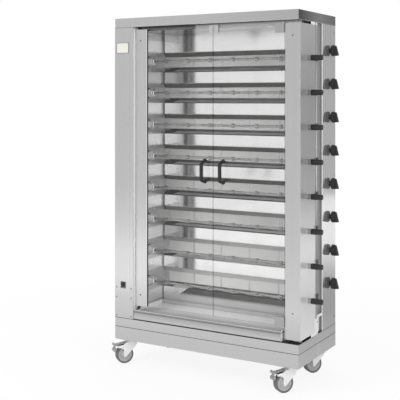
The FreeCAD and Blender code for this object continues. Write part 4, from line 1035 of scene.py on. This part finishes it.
# %% Rubber sleeve
buffer_place = Vector((0.480, -0.211, base_top))
piece = add_disc("post_buffer", buffer_place + Vector((0.0, 0.0, 1.2 * MM)), 13.2 * MM, 2 * MM, 40)
draw_up(piece, buffer_place.x, buffer_place.y, base_top + 2.2 * MM, 1.0,
        ((2.6, 0.95), (3.4, 1.0), (2.6, 1.0526), (1.8, 1.0)))
buffer = close_piece(piece, 0.5 * MM, 2)
hand_over(buffer, "cabinet", black_rubber)
print("buffer:", [round(v, 4) for v in buffer.dimensions])

# %% [markdown]
# ## The floor, the light and the view
# The machine stands on a pale floor in an even studio. A floor that is merely lit would turn grey, so what
# the camera sees of it is mostly plain white, and the rest keeps the soft shadow. Metal mirrors the floor too:
# in the machine's own shade it is greyer, and a few metres away it is bright. The room is bright in front and
# to the left and darker behind on the right, so the two sides read apart.

# %% Floor
clear_selection()
bpy.ops.mesh.primitive_plane_add(size=16.0, location=(0.0, 0.0, 0.0))
floor = bpy.context.object
floor.name = "studio_floor"
finish = Finish("studio_floor")
finish.dress(grey(0.86), 0.8)
fx, fy, _ = finish.split()
away = (fx * fx + fy * fy) ** 0.5
to_camera, glossy, through = finish.rays()
to_metal = glossy.most(through)
rear = finish.limit(fx * 0.6 + fy * 0.8, -0.3, 0.7)
front_shine = 0.78 + finish.limit(away, 1.2, 3.0) * 0.30 - finish.limit(away, 5.2, 8.0) * 0.34
rear_shine = 0.62 - finish.limit(away, 0.9, 1.8) * 0.18 + finish.limit(away, 2.6, 4.6) * 0.58
shine = front_shine * (1.0 - rear) + rear_shine * rear
tone = to_camera.most((1.0 - to_camera) * shine)
glow = finish.add("ShaderNodeEmission", {}, {"Color": finish.blend(tone, 0.0, 1.0), "Strength": 1.0})
share = to_camera * (0.88 + finish.limit(away, 1.0, 2.6) * 0.12) + (1.0 - to_camera) * to_metal * 0.95
mixed = finish.add("ShaderNodeMixShader", {}, {"Fac": share})
plug(mixed.socket.node.inputs[1], Flow(finish.surface.outputs[0]))
plug(mixed.socket.node.inputs[2], glow)
plug(finish.tree.nodes["Material Output"].inputs["Surface"], mixed)
floor.data.materials.append(finish.material)
print("floor:", floor.dimensions[:])

# %% Room light
world = bpy.data.worlds.new("studio_room")
world.use_nodes = True
scene.world = world
room = Board(world.node_tree)
camera_ray, glossy, through = room.rays()
tx, ty, _ = room.split(room.add("ShaderNodeTexCoord", output="Generated"))
behind = room.add("ShaderNodeMapRange", {"interpolation_type": "SMOOTHSTEP"},
                  {"Value": tx * 0.6 + ty * 0.8, "From Min": 0.0, "From Max": 0.95})
mirrored = 0.82 - behind * 0.34
shiny_ray = camera_ray.most(glossy).most(through)
level = camera_ray + (1.0 - camera_ray) * (shiny_ray * mirrored + (1.0 - shiny_ray) * 0.70)
room.feed(world.node_tree.nodes["Background"], {"Color": grey(1.0), "Strength": level})
print("room light set")

# %% Soft lamps
def soft_lamp(name, place, aim, size, power, tall=None, mirrored_too=False):
    lamp = bpy.data.lights.new(name, "AREA")
    lamp.shape = "RECTANGLE" if tall else "DISK"
    lamp.size = size
    if tall:
        lamp.size_y = tall
    lamp.energy = power
    holder = bpy.data.objects.new(name, lamp)
    scene.collection.objects.link(holder)
    holder.location = place
    holder.rotation_euler = (Vector(aim) - Vector(place)).to_track_quat("-Z", "Y").to_euler()
    holder.visible_glossy = mirrored_too


soft_lamp("key_lamp", (-1.6, -3.6, 3.4), (0.0, 0.0, 0.9), 2.4, 85.0)
soft_lamp("fill_lamp", (3.4, -2.4, 2.6), (0.2, 0.0, 0.9), 2.4, 30.0)
soft_lamp("top_lamp", (0.2, 0.4, 4.4), (0.0, 0.0, 1.0), 2.6, 45.0)
soft_lamp("strip_lamp", (3.4, -1.7, 1.4), (0.5, -0.2, 1.0), 0.5, 13.0, 2.2, True)

# %% Camera
lens = bpy.data.cameras.new("view")
lens.lens = 78.53
lens.sensor_width = 36.0
lens.shift_y = -0.25795
lens.clip_end = 60.0
camera = bpy.data.objects.new("view", lens)
scene.collection.objects.link(camera)
camera.location = (2.2668, -4.1394, 1.4565)
camera.rotation_euler = (math.radians(90.0), 0.0, math.radians(30.2636))
scene.camera = camera
scene.view_settings.view_transform = "Standard"
print("camera at", camera.location[:])
